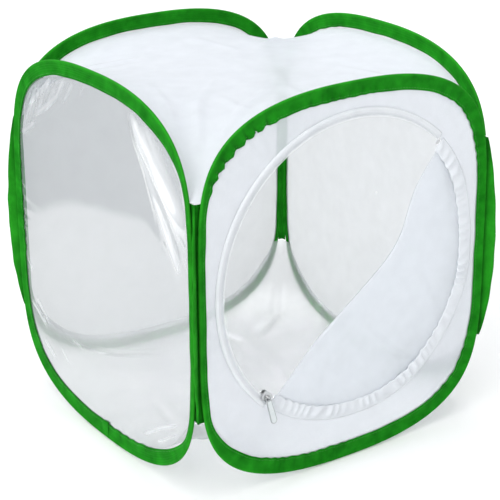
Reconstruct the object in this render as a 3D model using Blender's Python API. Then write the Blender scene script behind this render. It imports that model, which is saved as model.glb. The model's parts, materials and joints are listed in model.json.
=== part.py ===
"""A pop-up insect cage.

Four flat side panels, each held open by a spring-steel hoop in a folded binding tape, are sewn together
at the four upright corners. A cloth top and a cloth floor are stretched between the hoops. The left panel
is clear film, the others are fine mesh, and the front one has a round door with a zipper.

Axes: X to the right, Y to the back, Z up. The floor that the cage stands on is Z = 0, and the middle of
the whole, with the pull tab that stands out in front, is X = Y = 0. Lengths are in metres.
"""

import math

import bmesh
import bpy
import numpy as np
from mathutils import Matrix, Vector

# The cage as a whole
CAGE_WIDTH = 0.305
CAGE_HEIGHT = 0.332
FIT_GAP = 0.0003

# The hoop's outline is a superellipse: straight where the corners are sewn, rounder over the top and bottom
ACROSS_POWER = 2.5
UPRIGHT_POWER = 4.8
HOOP_STATIONS = 44

# Spring-steel hoop and the crimped ferrule that joins its ends
WIRE_RADIUS = 0.0007
WIRE_SIDES = 6
FERRULE_WALL = 0.0003
FERRULE_LENGTH = 0.024
FERRULE_PLAY = 0.0001
WIRE_END_GAP = 0.0008

# Binding tape folded round the wire and the edge of the panel
TAPE_CLOTH = 0.0004
TAPE_WIDTH = 0.0125
TAPE_WIDTH_AT_SEAM = 0.0085
BEAD_SIDES = 7

# Panels, top and floor
PANEL_THICKNESS = 0.0005
SHEET_THICKNESS = 0.0005
SHEET_OVERLAP = 0.002
SHEET_SPANS = 10
RELAX_ROUNDS = 600

# Upright corner seams: the panels hinge about a line just inside the corner
SEAM_HALF_LENGTH = 0.092
HINGE_CLEARANCE = 0.001
HOOP_END_CLEARANCE = 0.0002
CORNER_TAPE_LEG = 0.0062
CORNER_TAPE_CLOTH = 0.0004
SEAM_END_GAP = 0.0006

# Round door in the front panel
RING_MARGIN = 0.0125
RING_SHIFT = 0.0025
RING_RISE = 0.007
RING_SEGMENTS = 72
CLOTH_EDGE_FROM_CHAIN = 0.0045
ZIP_TAPE_WIDTH = 0.007
ZIP_TAPE_CLOTH = 0.0005
ZIP_TAPE_FROM_CHAIN = 0.0015
COIL_WIDTH = 0.0018
COIL_HEIGHT = 0.0013
COIL_FROM_CHAIN = 0.0007
RIM_TAPE_WIDTH = 0.013
ZIP_START_ANGLE = math.radians(225.5)
ZIP_TRAVEL = math.radians(176.0)

# The flap's free part swings in about a straight fold, and lies folded back behind the sewn part
FOLD_OFFSET = 0.008
FOLD_DIRECTION = math.radians(-42.5)
FOLD_DEPTH = 0.0007
FOLD_SLIT = 0.0008
FLAP_OPEN_ANGLE = math.radians(176.0)

# Zipper slider, bail, pull tab and stops
SLIDER_WIDTH = 0.008
SLIDER_LENGTH = 0.0095
SLIDER_PLATE = 0.001
SLIDER_NOSE_WIDTH = 0.0055
POST_WIDTH = 0.0006
POST_LENGTH = 0.0026
FLANGE_WIDTH = 0.0011
BAIL_WIDTH = 0.0012
BAIL_WIRE = 0.0007
BAIL_SPAN = 0.004
BAIL_RISE = 0.0019
PULL_LENGTH = 0.025
PULL_END_WIDTH = 0.0056
PULL_HEAD_WIDTH = 0.0068
PULL_THICKNESS = 0.0009
PULL_BAR = 0.0009
PULL_EYE_WIDTH = 0.005
PULL_EYE_HEIGHT = 0.0022
PULL_TILT = math.radians(6.0)
PULL_LEAN = math.radians(12.0)
STOP_LENGTH = 0.0022
STOP_WIDTH = 0.0044
STOP_THICKNESS = 0.0006

# Worked out from the sizes above
BEAD_HOLLOW = WIRE_RADIUS + FERRULE_PLAY + FERRULE_WALL + FIT_GAP / 2
BEAD_RADIUS = BEAD_HOLLOW + TAPE_CLOTH
FLANGE_INNER = PANEL_THICKNESS / 2 + FIT_GAP
FLANGE_OUTER = FLANGE_INNER + TAPE_CLOTH
PANEL_PLANE = CAGE_WIDTH / 2 - BEAD_RADIUS
HINGE_LINE = PANEL_PLANE - BEAD_RADIUS - HINGE_CLEARANCE
HOOP_HALF_WIDTH = HINGE_LINE - HOOP_END_CLEARANCE
HOOP_HALF_HEIGHT = CAGE_HEIGHT / 2
MIDDLE = CAGE_HEIGHT / 2
PANEL_INSET = BEAD_RADIUS + BEAD_HOLLOW + FIT_GAP
RING_ROOM_ACROSS = HOOP_HALF_WIDTH - TAPE_WIDTH_AT_SEAM
RING_ROOM_UP = HOOP_HALF_HEIGHT - TAPE_WIDTH - RING_RISE
RING_RADIUS = min(RING_ROOM_ACROSS, RING_ROOM_UP) - RING_MARGIN
ZIP_TAPE_FACE = PANEL_THICKNESS / 2 + FIT_GAP
COIL_FACE = ZIP_TAPE_FACE + ZIP_TAPE_CLOTH + FIT_GAP
COIL_TOP = COIL_FACE + COIL_HEIGHT
TOP_PLATE_FACE = COIL_TOP + FIT_GAP
BOTTOM_PLATE_FACE = ZIP_TAPE_FACE - FIT_GAP

# Each side of the cage: how far it is turned from the front one, about the upright through the middle
SIDES = {
    "front": 0.0,
    "right": math.radians(90.0),
    "back": math.radians(180.0),
    "left": math.radians(270.0),
}


def clear_scene():
    for old in list(bpy.data.objects):
        bpy.data.objects.remove(old, do_unlink=True)


def make_material(name, colour, roughness, metallic=0.0, alpha=1.0):
    material = bpy.data.materials.new(name)
    material.use_nodes = True
    shader = material.node_tree.nodes["Principled BSDF"]
    shader.inputs["Base Color"].default_value = (*colour, 1.0)
    shader.inputs["Roughness"].default_value = roughness
    shader.inputs["Metallic"].default_value = metallic
    shader.inputs["Alpha"].default_value = alpha
    material.diffuse_color = (*colour, alpha)
    return material


def add_object(name, shape, material, place, parent=None):
    """Turns a bmesh into an object whose mesh is in the frame of place, with its faces pointing outwards."""
    bmesh.ops.recalc_face_normals(shape, faces=shape.faces)
    mesh = bpy.data.meshes.new(name)
    shape.to_mesh(mesh)
    shape.free()
    mesh.shade_smooth()
    mesh.set_sharp_from_angle(angle=math.radians(35.0))
    mesh.materials.append(material)
    piece = bpy.data.objects.new(name, mesh)
    bpy.context.scene.collection.objects.link(piece)
    piece.parent = parent
    piece.matrix_local = place
    return piece


def add_joint_empty(name, place, parent=None):
    joint = bpy.data.objects.new(name, None)
    joint.empty_display_size = TAPE_WIDTH
    bpy.context.scene.collection.objects.link(joint)
    joint.parent = parent
    joint.matrix_local = place
    return joint


# Each panel is drawn in its own frame: X along the panel, Z up from the middle, and -Y out of the cage.


def side_frame(side):
    """The frame of a side panel, at the middle of that panel."""
    turn = Matrix.Rotation(SIDES[side], 4, "Z")
    return Matrix.Translation((0, 0, MIDDLE)) @ turn @ Matrix.Translation((0, -PANEL_PLANE, 0))


def place_under(parent, side):
    """The frame of a side panel, as seen from the joint that carries the piece."""
    return parent.matrix_world.inverted() @ side_frame(side)


def outline_point(angle):
    """A point of the hoop's outer edge, and the direction straight out from it in the panel's plane."""
    across = math.cos(angle)
    up = math.sin(angle)
    u = math.copysign(abs(across) ** (2 / ACROSS_POWER), across)
    v = math.copysign(abs(up) ** (2 / UPRIGHT_POWER), up)
    slope_u = ACROSS_POWER * math.copysign(abs(u) ** (ACROSS_POWER - 1), u) / HOOP_HALF_WIDTH
    slope_v = UPRIGHT_POWER * math.copysign(abs(v) ** (UPRIGHT_POWER - 1), v) / HOOP_HALF_HEIGHT
    outward = Vector((slope_u, 0, slope_v)).normalized()
    return Vector((u * HOOP_HALF_WIDTH, 0, v * HOOP_HALF_HEIGHT)), outward


def tape_width_at(height):
    """The tape is gathered narrower down the sewn corner and opens out to its full width over the arcs."""
    along = min(1.0, max(0.0, (abs(height) - SEAM_HALF_LENGTH / 2) / SEAM_HALF_LENGTH))
    eased = along * along * (3 - 2 * along)
    return TAPE_WIDTH_AT_SEAM + (TAPE_WIDTH - TAPE_WIDTH_AT_SEAM) * eased


def bottom_angles(half_length, steps):
    """Outline angles spread evenly over a short stretch at the middle of the hoop's bottom arc."""
    found = []
    for k in range(steps + 1):
        across = half_length * (2 * k / steps - 1)
        share = (abs(across) / HOOP_HALF_WIDTH) ** (ACROSS_POWER / 2)
        found.append(math.radians(270.0) + math.copysign(math.asin(share), across))
    return found


def station_angles():
    """The stations that tape, wire and panel share, with two more where the ferrule ends."""
    even = [2 * math.pi * k / HOOP_STATIONS for k in range(HOOP_STATIONS)]
    return sorted(even + bottom_angles(FERRULE_LENGTH / 2, 1))


def sweep(shape, sections, closed=True):
    """Joins a row of like cross-sections, each a loop of points, into one skin."""
    rings = [[shape.verts.new(point) for point in section] for section in sections]
    count = len(rings[0])
    last = len(rings) if closed else len(rings) - 1
    for k in range(last):
        here, there = rings[k], rings[(k + 1) % len(rings)]
        for i in range(count):
            j = (i + 1) % count
            shape.faces.new((here[i], here[j], there[j], there[i]))
    if not closed:
        shape.faces.new(rings[0])
        shape.faces.new(rings[-1])


def bead_arc(radius, thickness):
    """Points (inset, offset) round the bead, whose outermost side is flat and lies on the hoop's outline."""
    wing = math.asin(thickness / radius)
    step = (2 * math.pi - 2 * wing) / BEAD_SIDES
    corner = radius / math.cos(step / 2)
    turns = [wing + step * k for k in range(BEAD_SIDES + 1)]
    return [(BEAD_RADIUS + corner * math.cos(turn), corner * math.sin(turn)) for turn in turns]


def tape_profile(width):
    """The folded tape's section as (inset, offset) pairs: a bead round the wire, then two flat wings."""
    outer = bead_arc(BEAD_RADIUS, FLANGE_OUTER)
    inner = bead_arc(BEAD_HOLLOW, FLANGE_INNER)
    around = [(width, FLANGE_OUTER), *outer, (width, -FLANGE_OUTER)]
    back = [(width, -FLANGE_INNER), *reversed(inner), (width, FLANGE_INNER)]
    return around + back


def make_tape(side, material, parent):
    shape = bmesh.new()
    sections = []
    for angle in station_angles():
        edge, outward = outline_point(angle)
        profile = tape_profile(tape_width_at(edge.z))
        sections.append([edge - outward * inset + Vector((0, offset, 0)) for inset, offset in profile])
    sweep(shape, sections)
    return add_object(f"{side}_edge_tape", shape, material, place_under(parent, side), parent)


def round_section(centre, outward, radius, sides=WIRE_SIDES):
    points = []
    for k in range(sides):
        angle = 2 * math.pi * k / sides
        points.append(centre + outward * radius * math.cos(angle) + Vector((0, radius * math.sin(angle), 0)))
    return points


def wire_centre(angle):
    edge, outward = outline_point(angle)
    return edge - outward * BEAD_RADIUS, outward


def make_wire(side, material, parent):
    """The hoop of spring wire, open at the middle of the bottom, where its ends meet in the ferrule."""
    shape = bmesh.new()
    start = bottom_angles(WIRE_END_GAP / 2, 1)
    around = [angle for angle in station_angles() if not math.isclose(angle, math.radians(270.0))]
    after = [angle for angle in around if angle > start[1]]
    before = [angle + 2 * math.pi for angle in around if angle < start[0]]
    sections = []
    for angle in [start[1], *after, *before, start[0] + 2 * math.pi]:
        centre, outward = wire_centre(angle)
        sections.append(round_section(centre, outward, WIRE_RADIUS))
    sweep(shape, sections, closed=False)
    return add_object(f"{side}_hoop_wire", shape, material, place_under(parent, side), parent)


def make_ferrule(side, material, parent):
    """A short tube over the two ends of the wire."""
    shape = bmesh.new()
    bore = WIRE_RADIUS + FERRULE_PLAY
    sections = []
    ends = bottom_angles(FERRULE_LENGTH / 2, 2)
    path = [wire_centre(angle) for angle in ends]
    for centre, outward in path:
        sections.append(round_section(centre, outward, bore + FERRULE_WALL))
    for centre, outward in reversed(path):
        sections.append(round_section(centre, outward, bore))
    sweep(shape, sections)
    return add_object(f"{side}_hoop_ferrule", shape, material, place_under(parent, side), parent)


def panel_outline():
    points = []
    for angle in station_angles():
        edge, outward = outline_point(angle)
        points.append(edge - outward * PANEL_INSET)
    return points


def plate(shape, outline, near, far, hole=()):
    """A flat sheet between two offsets along Y, with an outer outline and perhaps a hole."""
    layers = []
    for offset in (near, far):
        rims = []
        for loop in (outline, hole):
            rims.append([shape.verts.new((point.x, offset, point.z)) for point in loop])
        layers.append(rims)
    for k, loop in enumerate((outline, hole)):
        for i in range(len(loop)):
            j = (i + 1) % len(loop)
            first, second = layers[0][k], layers[1][k]
            shape.faces.new((first[i], first[j], second[j], second[i]))
    for rims in layers:
        if not hole:
            shape.faces.new(rims[0])
            continue
        edges = []
        for rim in rims:
            for i in range(len(rim)):
                edges.append(shape.edges.get((rim[i], rim[(i + 1) % len(rim)])))
        bmesh.ops.triangle_fill(shape, edges=edges, use_beauty=True)


def make_panel(side, material, parent):
    shape = bmesh.new()
    hole = ring_arc(RING_RADIUS + CLOTH_EDGE_FROM_CHAIN, 0, 2 * math.pi)[:-1] if side == "front" else ()
    plate(shape, panel_outline(), -PANEL_THICKNESS / 2, PANEL_THICKNESS / 2, hole)
    name = "left_panel_film" if side == "left" else f"{side}_panel_mesh"
    return add_object(name, shape, material, place_under(parent, side), parent)


# Top and floor: cloth pulled taut between the four hoops, so each point settles midway between its neighbours


def sheet_stations():
    """Where the sheet is sewn along one hoop's arc: (across, height above the middle, inset of the edge)."""
    start = math.asin((SEAM_HALF_LENGTH / HOOP_HALF_HEIGHT) ** (UPRIGHT_POWER / 2))
    arc = []
    for k in range(SHEET_SPANS + 1):
        angle = math.pi - start - (math.pi - 2 * start) * k / SHEET_SPANS
        edge, outward = outline_point(angle)
        point = edge - outward * (tape_width_at(edge.z) - SHEET_OVERLAP)
        at_end = k in (0, SHEET_SPANS)
        height = max(point.z, SEAM_HALF_LENGTH + SEAM_END_GAP + SHEET_THICKNESS)
        arc.append((point.x, height, BEAD_RADIUS if at_end else FLANGE_OUTER))
    corner = PANEL_PLANE - BEAD_RADIUS - FIT_GAP - SHEET_THICKNESS / 2
    ends = SEAM_HALF_LENGTH + SEAM_END_GAP + SHEET_THICKNESS
    return [(-corner, ends, BEAD_RADIUS), *arc, (corner, ends, BEAD_RADIUS)]


def sheet_grid():
    """The settled sheet as rows of points, with heights measured from the middle of the cage."""
    stations = sheet_stations()
    count = len(stations)
    across = np.array([station[0] for station in stations])
    rim = np.array([station[1] for station in stations])
    inset = np.array([station[2] for station in stations]) + FIT_GAP + SHEET_THICKNESS / 2
    heights = np.full((count, count), rim.mean())
    heights[0, :] = heights[-1, :] = heights[:, 0] = heights[:, -1] = rim
    gaps = np.diff(across)
    before = 1 / gaps[:-1] / (gaps[:-1] + gaps[1:])
    after = 1 / gaps[1:] / (gaps[:-1] + gaps[1:])
    total = (before + after)[:, None] + (before + after)[None, :]
    for _ in range(RELAX_ROUNDS):
        rows = heights[:-2, 1:-1] * before[:, None] + heights[2:, 1:-1] * after[:, None]
        columns = heights[1:-1, :-2] * before[None, :] + heights[1:-1, 2:] * after[None, :]
        heights[1:-1, 1:-1] = (rows + columns) / total
    x, y = np.meshgrid(across, across, indexing="ij")
    edge = PANEL_PLANE - inset
    y[1:-1, 0], y[1:-1, -1] = -edge[1:-1], edge[1:-1]
    x[0, 1:-1], x[-1, 1:-1] = -edge[1:-1], edge[1:-1]
    return x, y, heights


def make_sheet(name, upwards, material, parent):
    x, y, heights = sheet_grid()
    shape = bmesh.new()
    count = len(x)
    rows = []
    for i in range(count):
        rows.append([shape.verts.new((x[i, j], y[i, j], upwards * heights[i, j])) for j in range(count)])
    for i in range(count - 1):
        for j in range(count - 1):
            shape.faces.new((rows[i][j], rows[i + 1][j], rows[i + 1][j + 1], rows[i][j + 1]))
    sheet = add_object(name, shape, material, Matrix.Translation((0, 0, MIDDLE)), parent)
    wall = sheet.modifiers.new("cloth thickness", "SOLIDIFY")
    wall.thickness = SHEET_THICKNESS
    wall.offset = 0.0
    wall.use_even_offset = True
    return sheet


def make_corner_tape(name, corner_turn, material, parent):
    """A strip folded in two, with a leg flat against the inner face of each of the hoops that it joins."""
    shape = bmesh.new()
    face = PANEL_PLANE - BEAD_RADIUS - FIT_GAP
    inner = face - CORNER_TAPE_CLOTH
    reach = HINGE_LINE - CORNER_TAPE_LEG
    outline = [(face, face), (reach, face), (reach, inner), (inner, inner), (inner, reach), (face, reach)]
    sections = []
    for height in (-SEAM_HALF_LENGTH, SEAM_HALF_LENGTH):
        sections.append([Vector((-x, -y, height)) for x, y in outline])
    sweep(shape, sections, closed=False)
    place = Matrix.Translation((0, 0, MIDDLE)) @ Matrix.Rotation(corner_turn, 4, "Z")
    return add_object(name, shape, material, parent.matrix_world.inverted() @ place, parent)


# The door, drawn in the front panel's frame about the middle of its ring


def ring_centre():
    return Vector((RING_SHIFT, 0, RING_RISE))


def ring_point(radius, angle):
    return ring_centre() + Vector((radius * math.cos(angle), 0, radius * math.sin(angle)))


def ring_arc(radius, start, end):
    steps = max(2, math.ceil(RING_SEGMENTS * abs(end - start) / (2 * math.pi)))
    return [ring_point(radius, start + (end - start) * k / steps) for k in range(steps + 1)]


def ring_band(shape, inner, outer, near, far, start, end):
    """A flat or square-sided band that follows the ring; near and far are measured out of the cage."""
    sections = []
    for low, high in zip(ring_arc(inner, start, end), ring_arc(outer, start, end)):
        sections.append(
            [
                Vector((low.x, -near, low.z)),
                Vector((high.x, -near, high.z)),
                Vector((high.x, -far, high.z)),
                Vector((low.x, -far, low.z)),
            ]
        )
    sweep(shape, sections, closed=False)


def fold_normal():
    return Vector((math.cos(FOLD_DIRECTION), 0, math.sin(FOLD_DIRECTION)))


def fold_point():
    return ring_centre() + fold_normal() * FOLD_OFFSET + Vector((0, FOLD_DEPTH, 0))


def flap_segment(radius, free):
    """The part of the door's cloth on one side of the fold: a segment of a disc."""
    edge = FOLD_OFFSET - FOLD_SLIT if free else FOLD_OFFSET + FOLD_SLIT
    half = math.acos(edge / radius)
    if free:
        return ring_arc(radius, FOLD_DIRECTION + half, FOLD_DIRECTION + 2 * math.pi - half)
    return ring_arc(radius, FOLD_DIRECTION - half, FOLD_DIRECTION + half)


def zip_end_angle():
    return ZIP_START_ANGLE - ZIP_TRAVEL


def make_door_on_panel(materials, parent):
    """What stays on the front panel: the flap's sewn part, its rim tape, one zipper tape and its coil."""
    place = place_under(parent, "front")
    shape = bmesh.new()
    cloth_radius = RING_RADIUS - CLOTH_EDGE_FROM_CHAIN
    plate(shape, flap_segment(cloth_radius, free=False), -PANEL_THICKNESS / 2, PANEL_THICKNESS / 2)
    add_object("door_flap_sewn_part", shape, materials["mesh"], place, parent)

    shape = bmesh.new()
    slack = 2 * STOP_LENGTH / RING_RADIUS
    reach = SLIDER_LENGTH / 2 / RING_RADIUS
    rim_start = ZIP_START_ANGLE + reach + slack
    rim_end = zip_end_angle() + 2 * math.pi - reach - slack
    tape_top = ZIP_TAPE_FACE + ZIP_TAPE_CLOTH
    half = RIM_TAPE_WIDTH / 2
    ring_band(shape, RING_RADIUS - half, RING_RADIUS + half, ZIP_TAPE_FACE, tape_top, rim_start, rim_end)
    add_object("door_rim_tape", shape, materials["cloth"], place, parent)

    zip_from = ZIP_START_ANGLE + reach
    zip_to = zip_end_angle() - reach
    shape = bmesh.new()
    inner = RING_RADIUS + ZIP_TAPE_FROM_CHAIN
    ring_band(shape, inner, inner + ZIP_TAPE_WIDTH, ZIP_TAPE_FACE, tape_top, zip_from, zip_to)
    add_object("panel_zipper_tape", shape, materials["cloth"], place, parent)

    shape = bmesh.new()
    inner = RING_RADIUS + COIL_FROM_CHAIN
    ring_band(shape, inner, inner + COIL_WIDTH, COIL_FACE, COIL_TOP, zip_from, zip_to)
    add_object("panel_zipper_coil", shape, materials["coil"], place, parent)


def flap_joint_place():
    """The flap's fold line: Z runs down along it, and a positive turn swings the flap into the cage."""
    along = Vector((math.sin(FOLD_DIRECTION), 0, -math.cos(FOLD_DIRECTION)))
    inwards = Vector((0, 1, 0))
    across = inwards.cross(along)
    frame = Matrix((across, inwards, along)).transposed().to_4x4()
    return Matrix.Translation(fold_point()) @ frame


def make_door_flap(materials, parent):
    """The flap's free part with its zipper tape and coil, drawn shut and then turned in about the fold."""
    shut = side_frame("front")
    hinge = shut @ flap_joint_place()
    turned = hinge @ Matrix.Rotation(FLAP_OPEN_ANGLE, 4, "Z")
    joint = add_joint_empty("flap_joint", parent.matrix_world.inverted() @ turned, parent)
    bpy.context.view_layer.update()
    place = hinge.inverted() @ shut

    shape = bmesh.new()
    cloth_radius = RING_RADIUS - CLOTH_EDGE_FROM_CHAIN
    plate(shape, flap_segment(cloth_radius, free=True), -PANEL_THICKNESS / 2, PANEL_THICKNESS / 2)
    add_object("door_flap", shape, materials["mesh"], place, joint)

    shape = bmesh.new()
    outer = RING_RADIUS - ZIP_TAPE_FROM_CHAIN
    tape_top = ZIP_TAPE_FACE + ZIP_TAPE_CLOTH
    ring_band(shape, outer - ZIP_TAPE_WIDTH, outer, ZIP_TAPE_FACE, tape_top, ZIP_START_ANGLE, zip_end_angle())
    add_object("flap_zipper_tape", shape, materials["cloth"], place, joint)

    shape = bmesh.new()
    outer = RING_RADIUS - COIL_FROM_CHAIN
    ring_band(shape, outer - COIL_WIDTH, outer, COIL_FACE, COIL_TOP, ZIP_START_ANGLE, zip_end_angle())
    add_object("flap_zipper_coil", shape, materials["coil"], place, joint)


def add_box(shape, low, high):
    corners = []
    for z in (low[2], high[2]):
        for x, y in ((low[0], low[1]), (high[0], low[1]), (high[0], high[1]), (low[0], high[1])):
            corners.append(shape.verts.new((x, y, z)))
    bottom, top = corners[:4], corners[4:]
    shape.faces.new(bottom)
    shape.faces.new(top)
    for i in range(4):
        j = (i + 1) % 4
        shape.faces.new((bottom[i], bottom[j], top[j], top[i]))


def join(target, cutter_or_part, operation):
    """Adds or cuts away another object for good, and removes it."""
    step = target.modifiers.new(operation.lower(), "BOOLEAN")
    step.operation = operation
    step.object = cutter_or_part
    bpy.context.view_layer.update()
    graph = bpy.context.evaluated_depsgraph_get()
    mesh = bpy.data.meshes.new_from_object(target.evaluated_get(graph))
    target.modifiers.remove(step)
    target.data = mesh
    bpy.data.objects.remove(cutter_or_part, do_unlink=True)


# The slider is drawn lying along X, with its divider towards +X, Y across the chain and Z out of the cage


def slider_outline():
    half, nose = SLIDER_WIDTH / 2, SLIDER_NOSE_WIDTH / 2
    back, front = -SLIDER_LENGTH / 2, SLIDER_LENGTH / 2
    shoulder = back + SLIDER_LENGTH / 4
    waist = front - SLIDER_LENGTH / 4
    lower = [(back, -nose), (shoulder, -half), (waist, -half), (front, -nose)]
    upper = [(front, nose), (waist, half), (shoulder, half), (back, nose)]
    return lower + upper


def extrude_outline(shape, outline, low, high):
    sections = []
    for level in (low, high):
        sections.append([Vector((x, y, level)) for x, y in outline])
    sweep(shape, sections, closed=False)


def slider_frame():
    """On the ring at the slider's rest, X along the chain towards the open side, Z out of the cage."""
    along = Vector((math.sin(ZIP_START_ANGLE), 0, -math.cos(ZIP_START_ANGLE)))
    out = Vector((0, -1, 0))
    across = out.cross(along)
    frame = Matrix((along, across, out)).transposed().to_4x4()
    return side_frame("front") @ Matrix.Translation(ring_point(RING_RADIUS, ZIP_START_ANGLE)) @ frame


def make_slider(materials, parent):
    ring_joint = side_frame("front") @ Matrix.Translation(ring_centre())
    joint = add_joint_empty("slider_joint", parent.matrix_world.inverted() @ ring_joint, parent)
    bpy.context.view_layer.update()
    frame = slider_frame()
    place = joint.matrix_world.inverted() @ frame

    shape = bmesh.new()
    bottom = BOTTOM_PLATE_FACE
    extrude_outline(shape, slider_outline(), bottom - SLIDER_PLATE, bottom)
    body = add_object("slider_body", shape, materials["zinc"], place, joint)
    top = bmesh.new()
    extrude_outline(top, slider_outline(), TOP_PLATE_FACE, TOP_PLATE_FACE + SLIDER_PLATE)
    join(body, add_object("top plate", top, materials["zinc"], place, joint), "UNION")
    overlap = SLIDER_PLATE / 2
    post = bmesh.new()
    nose = SLIDER_LENGTH / 2
    low = (nose - POST_LENGTH, -POST_WIDTH / 2, bottom - overlap)
    add_box(post, low, (nose, POST_WIDTH / 2, TOP_PLATE_FACE + overlap))
    join(body, add_object("post", post, materials["zinc"], place, joint), "UNION")
    for side in (-1, 1):
        wall = bmesh.new()
        outer, inner = side * SLIDER_WIDTH / 2, side * (SLIDER_WIDTH / 2 - FLANGE_WIDTH)
        low, high = min(outer, inner), max(outer, inner)
        length = SLIDER_LENGTH / 4
        add_box(wall, (-length, low, COIL_FACE), (length, high, TOP_PLATE_FACE + overlap))
        join(body, add_object("flange", wall, materials["zinc"], place, joint), "UNION")
    make_bail(materials, place, joint)
    make_pull(materials, frame, joint)


def bail_points():
    """The arch's centre line: up from the slider's top plate, along, and down again."""
    base = TOP_PLATE_FACE + SLIDER_PLATE + FIT_GAP
    half = BAIL_SPAN / 2
    top = base + BAIL_RISE
    bend = BAIL_RISE / 2
    one_side = [(-half, base), (-half, top - bend), (-half + bend, top)]
    return one_side + [(-x, z) for x, z in reversed(one_side)]


def make_bail(materials, place, joint):
    shape = bmesh.new()
    line = bail_points()
    sections = []
    for k, (x, z) in enumerate(line):
        before = Vector(line[max(k - 1, 0)])
        after = Vector(line[min(k + 1, len(line) - 1)])
        along = (after - before).normalized()
        side = Vector((-along.y, 0, along.x))
        middle = Vector((x, 0, z))
        edge = side * BAIL_WIRE / 2
        wide = Vector((0, BAIL_WIDTH / 2, 0))
        low, high = middle - edge, middle + edge
        sections.append([low - wide, high - wide, high + wide, low + wide])
    sweep(shape, sections, closed=False)
    return add_object("slider_bail", shape, materials["zinc"], place, joint)


def pull_axis_level():
    """How far out of the panel's plane the pull tab's eye hangs, just under the top of the arch."""
    arch_top = TOP_PLATE_FACE + SLIDER_PLATE + FIT_GAP + BAIL_RISE
    return arch_top - BAIL_WIRE / 2 - FIT_GAP - PULL_BAR / 2


def pull_outline():
    """The tab hangs down from its bar, which is centred on the hinge line; its lower end is round."""
    head, end = PULL_HEAD_WIDTH / 2, PULL_END_WIDTH / 2
    top = PULL_BAR / 2
    shoulder = top - 2 * PULL_BAR - PULL_EYE_HEIGHT
    steps = 8
    points = [Vector((head, 0, top)), Vector((head, 0, shoulder))]
    for k in range(steps + 1):
        angle = -math.pi * k / steps
        points.append(Vector((end * math.cos(angle), 0, top - PULL_LENGTH + end + end * math.sin(angle))))
    return [*points, Vector((-head, 0, shoulder)), Vector((-head, 0, top))]


def pull_eye():
    half = PULL_EYE_WIDTH / 2
    top = -PULL_BAR / 2
    low = top - PULL_EYE_HEIGHT
    return [Vector((half, 0, top)), Vector((half, 0, low)), Vector((-half, 0, low)), Vector((-half, 0, top))]


def make_pull(materials, slider_place, joint):
    """A flat tab whose top bar passes under the arch of the bail."""
    middle = slider_place @ Vector((0, 0, pull_axis_level()))
    turn = Matrix.Rotation(-PULL_LEAN, 4, "Y") @ Matrix.Rotation(-PULL_TILT, 4, "X")
    hinge = Matrix.Translation(middle) @ turn
    swing = add_joint_empty("pull_joint", joint.matrix_world.inverted() @ hinge, joint)
    bpy.context.view_layer.update()
    shape = bmesh.new()
    plate(shape, pull_outline(), -PULL_THICKNESS / 2, PULL_THICKNESS / 2, pull_eye())
    return add_object("pull_tab", shape, materials["pull"], Matrix.Identity(4), swing)


def make_stops(materials, parent):
    """A small crimped clip at each end of the zipper, over the panel's tape, past the slider's travel."""
    place = place_under(parent, "front")
    past = (SLIDER_LENGTH + STOP_LENGTH + 2 * FIT_GAP) / 2 / RING_RADIUS
    half = STOP_LENGTH / 2 / RING_RADIUS
    low = COIL_FACE
    inner = RING_RADIUS - STOP_WIDTH / 2
    stops = {"zipper_bottom_stop": ZIP_START_ANGLE + past, "zipper_top_stop": zip_end_angle() - past}
    for name, middle in stops.items():
        shape = bmesh.new()
        ring_band(shape, inner, inner + STOP_WIDTH, low, low + STOP_THICKNESS, middle - half, middle + half)
        add_object(name, shape, materials["zinc"], place, parent)


def middle_shift():
    """The pull tab stands out in front, so the cage sits this far back for the whole to be centred."""
    tip = pull_axis_level() + (PULL_LENGTH - PULL_BAR / 2) * math.sin(PULL_TILT)
    front_most = PANEL_PLANE + tip + PULL_THICKNESS / 2 * math.cos(PULL_TILT)
    return (front_most - CAGE_WIDTH / 2) / 2


def build():
    clear_scene()
    materials = {
        "tape": make_material("green binding tape", (0.02, 0.21, 0.02), 0.8),
        "steel": make_material("spring steel", (0.55, 0.55, 0.56), 0.35, metallic=1.0),
        "mesh": make_material("white mesh", (0.8, 0.83, 0.86), 0.9, alpha=0.5),
        "film": make_material("clear film", (0.85, 0.88, 0.9), 0.12, alpha=0.25),
        "cloth": make_material("white cloth", (0.85, 0.88, 0.92), 0.85),
        "coil": make_material("nylon coil", (0.88, 0.9, 0.92), 0.45),
        "zinc": make_material("plated zinc", (0.45, 0.46, 0.47), 0.3, metallic=1.0),
        "pull": make_material("grey pull tab", (0.55, 0.57, 0.58), 0.3, metallic=0.6),
    }
    corner = HINGE_LINE
    root = add_joint_empty("cage", Matrix.Identity(4))
    front = add_joint_empty("front_joint", Matrix.Translation((-corner, -corner, MIDDLE)), root)
    back = add_joint_empty("back_joint", Matrix.Translation((-corner, corner, MIDDLE)), root)
    bpy.context.view_layer.update()
    right_place = front.matrix_world.inverted() @ Matrix.Translation((corner, -corner, MIDDLE))
    right = add_joint_empty("right_joint", right_place, front)
    bpy.context.view_layer.update()

    carriers = {"left": root, "front": front, "back": back, "right": right}
    for side, carrier in carriers.items():
        make_panel(side, materials["film" if side == "left" else "mesh"], carrier)
        make_tape(side, materials["tape"], carrier)
        make_wire(side, materials["steel"], carrier)
        make_ferrule(side, materials["steel"], carrier)

    make_sheet("top_sheet", 1, materials["cloth"], root)
    make_sheet("bottom_sheet", -1, materials["cloth"], root)
    corners = (
        ("front_left", 0.0, root),
        ("front_right", 90.0, front),
        ("back_right", 180.0, back),
        ("back_left", 270.0, root),
    )
    for name, degrees, carrier in corners:
        make_corner_tape(f"{name}_corner_tape", math.radians(degrees), materials["tape"], carrier)

    make_door_on_panel(materials, front)
    make_door_flap(materials, front)
    make_slider(materials, front)
    make_stops(materials, front)
    root.location.y = middle_shift()
    bpy.context.view_layer.update()


build()
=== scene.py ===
import json
import math

import bmesh
import bpy
import numpy as np
from mathutils import Matrix, Vector


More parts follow.
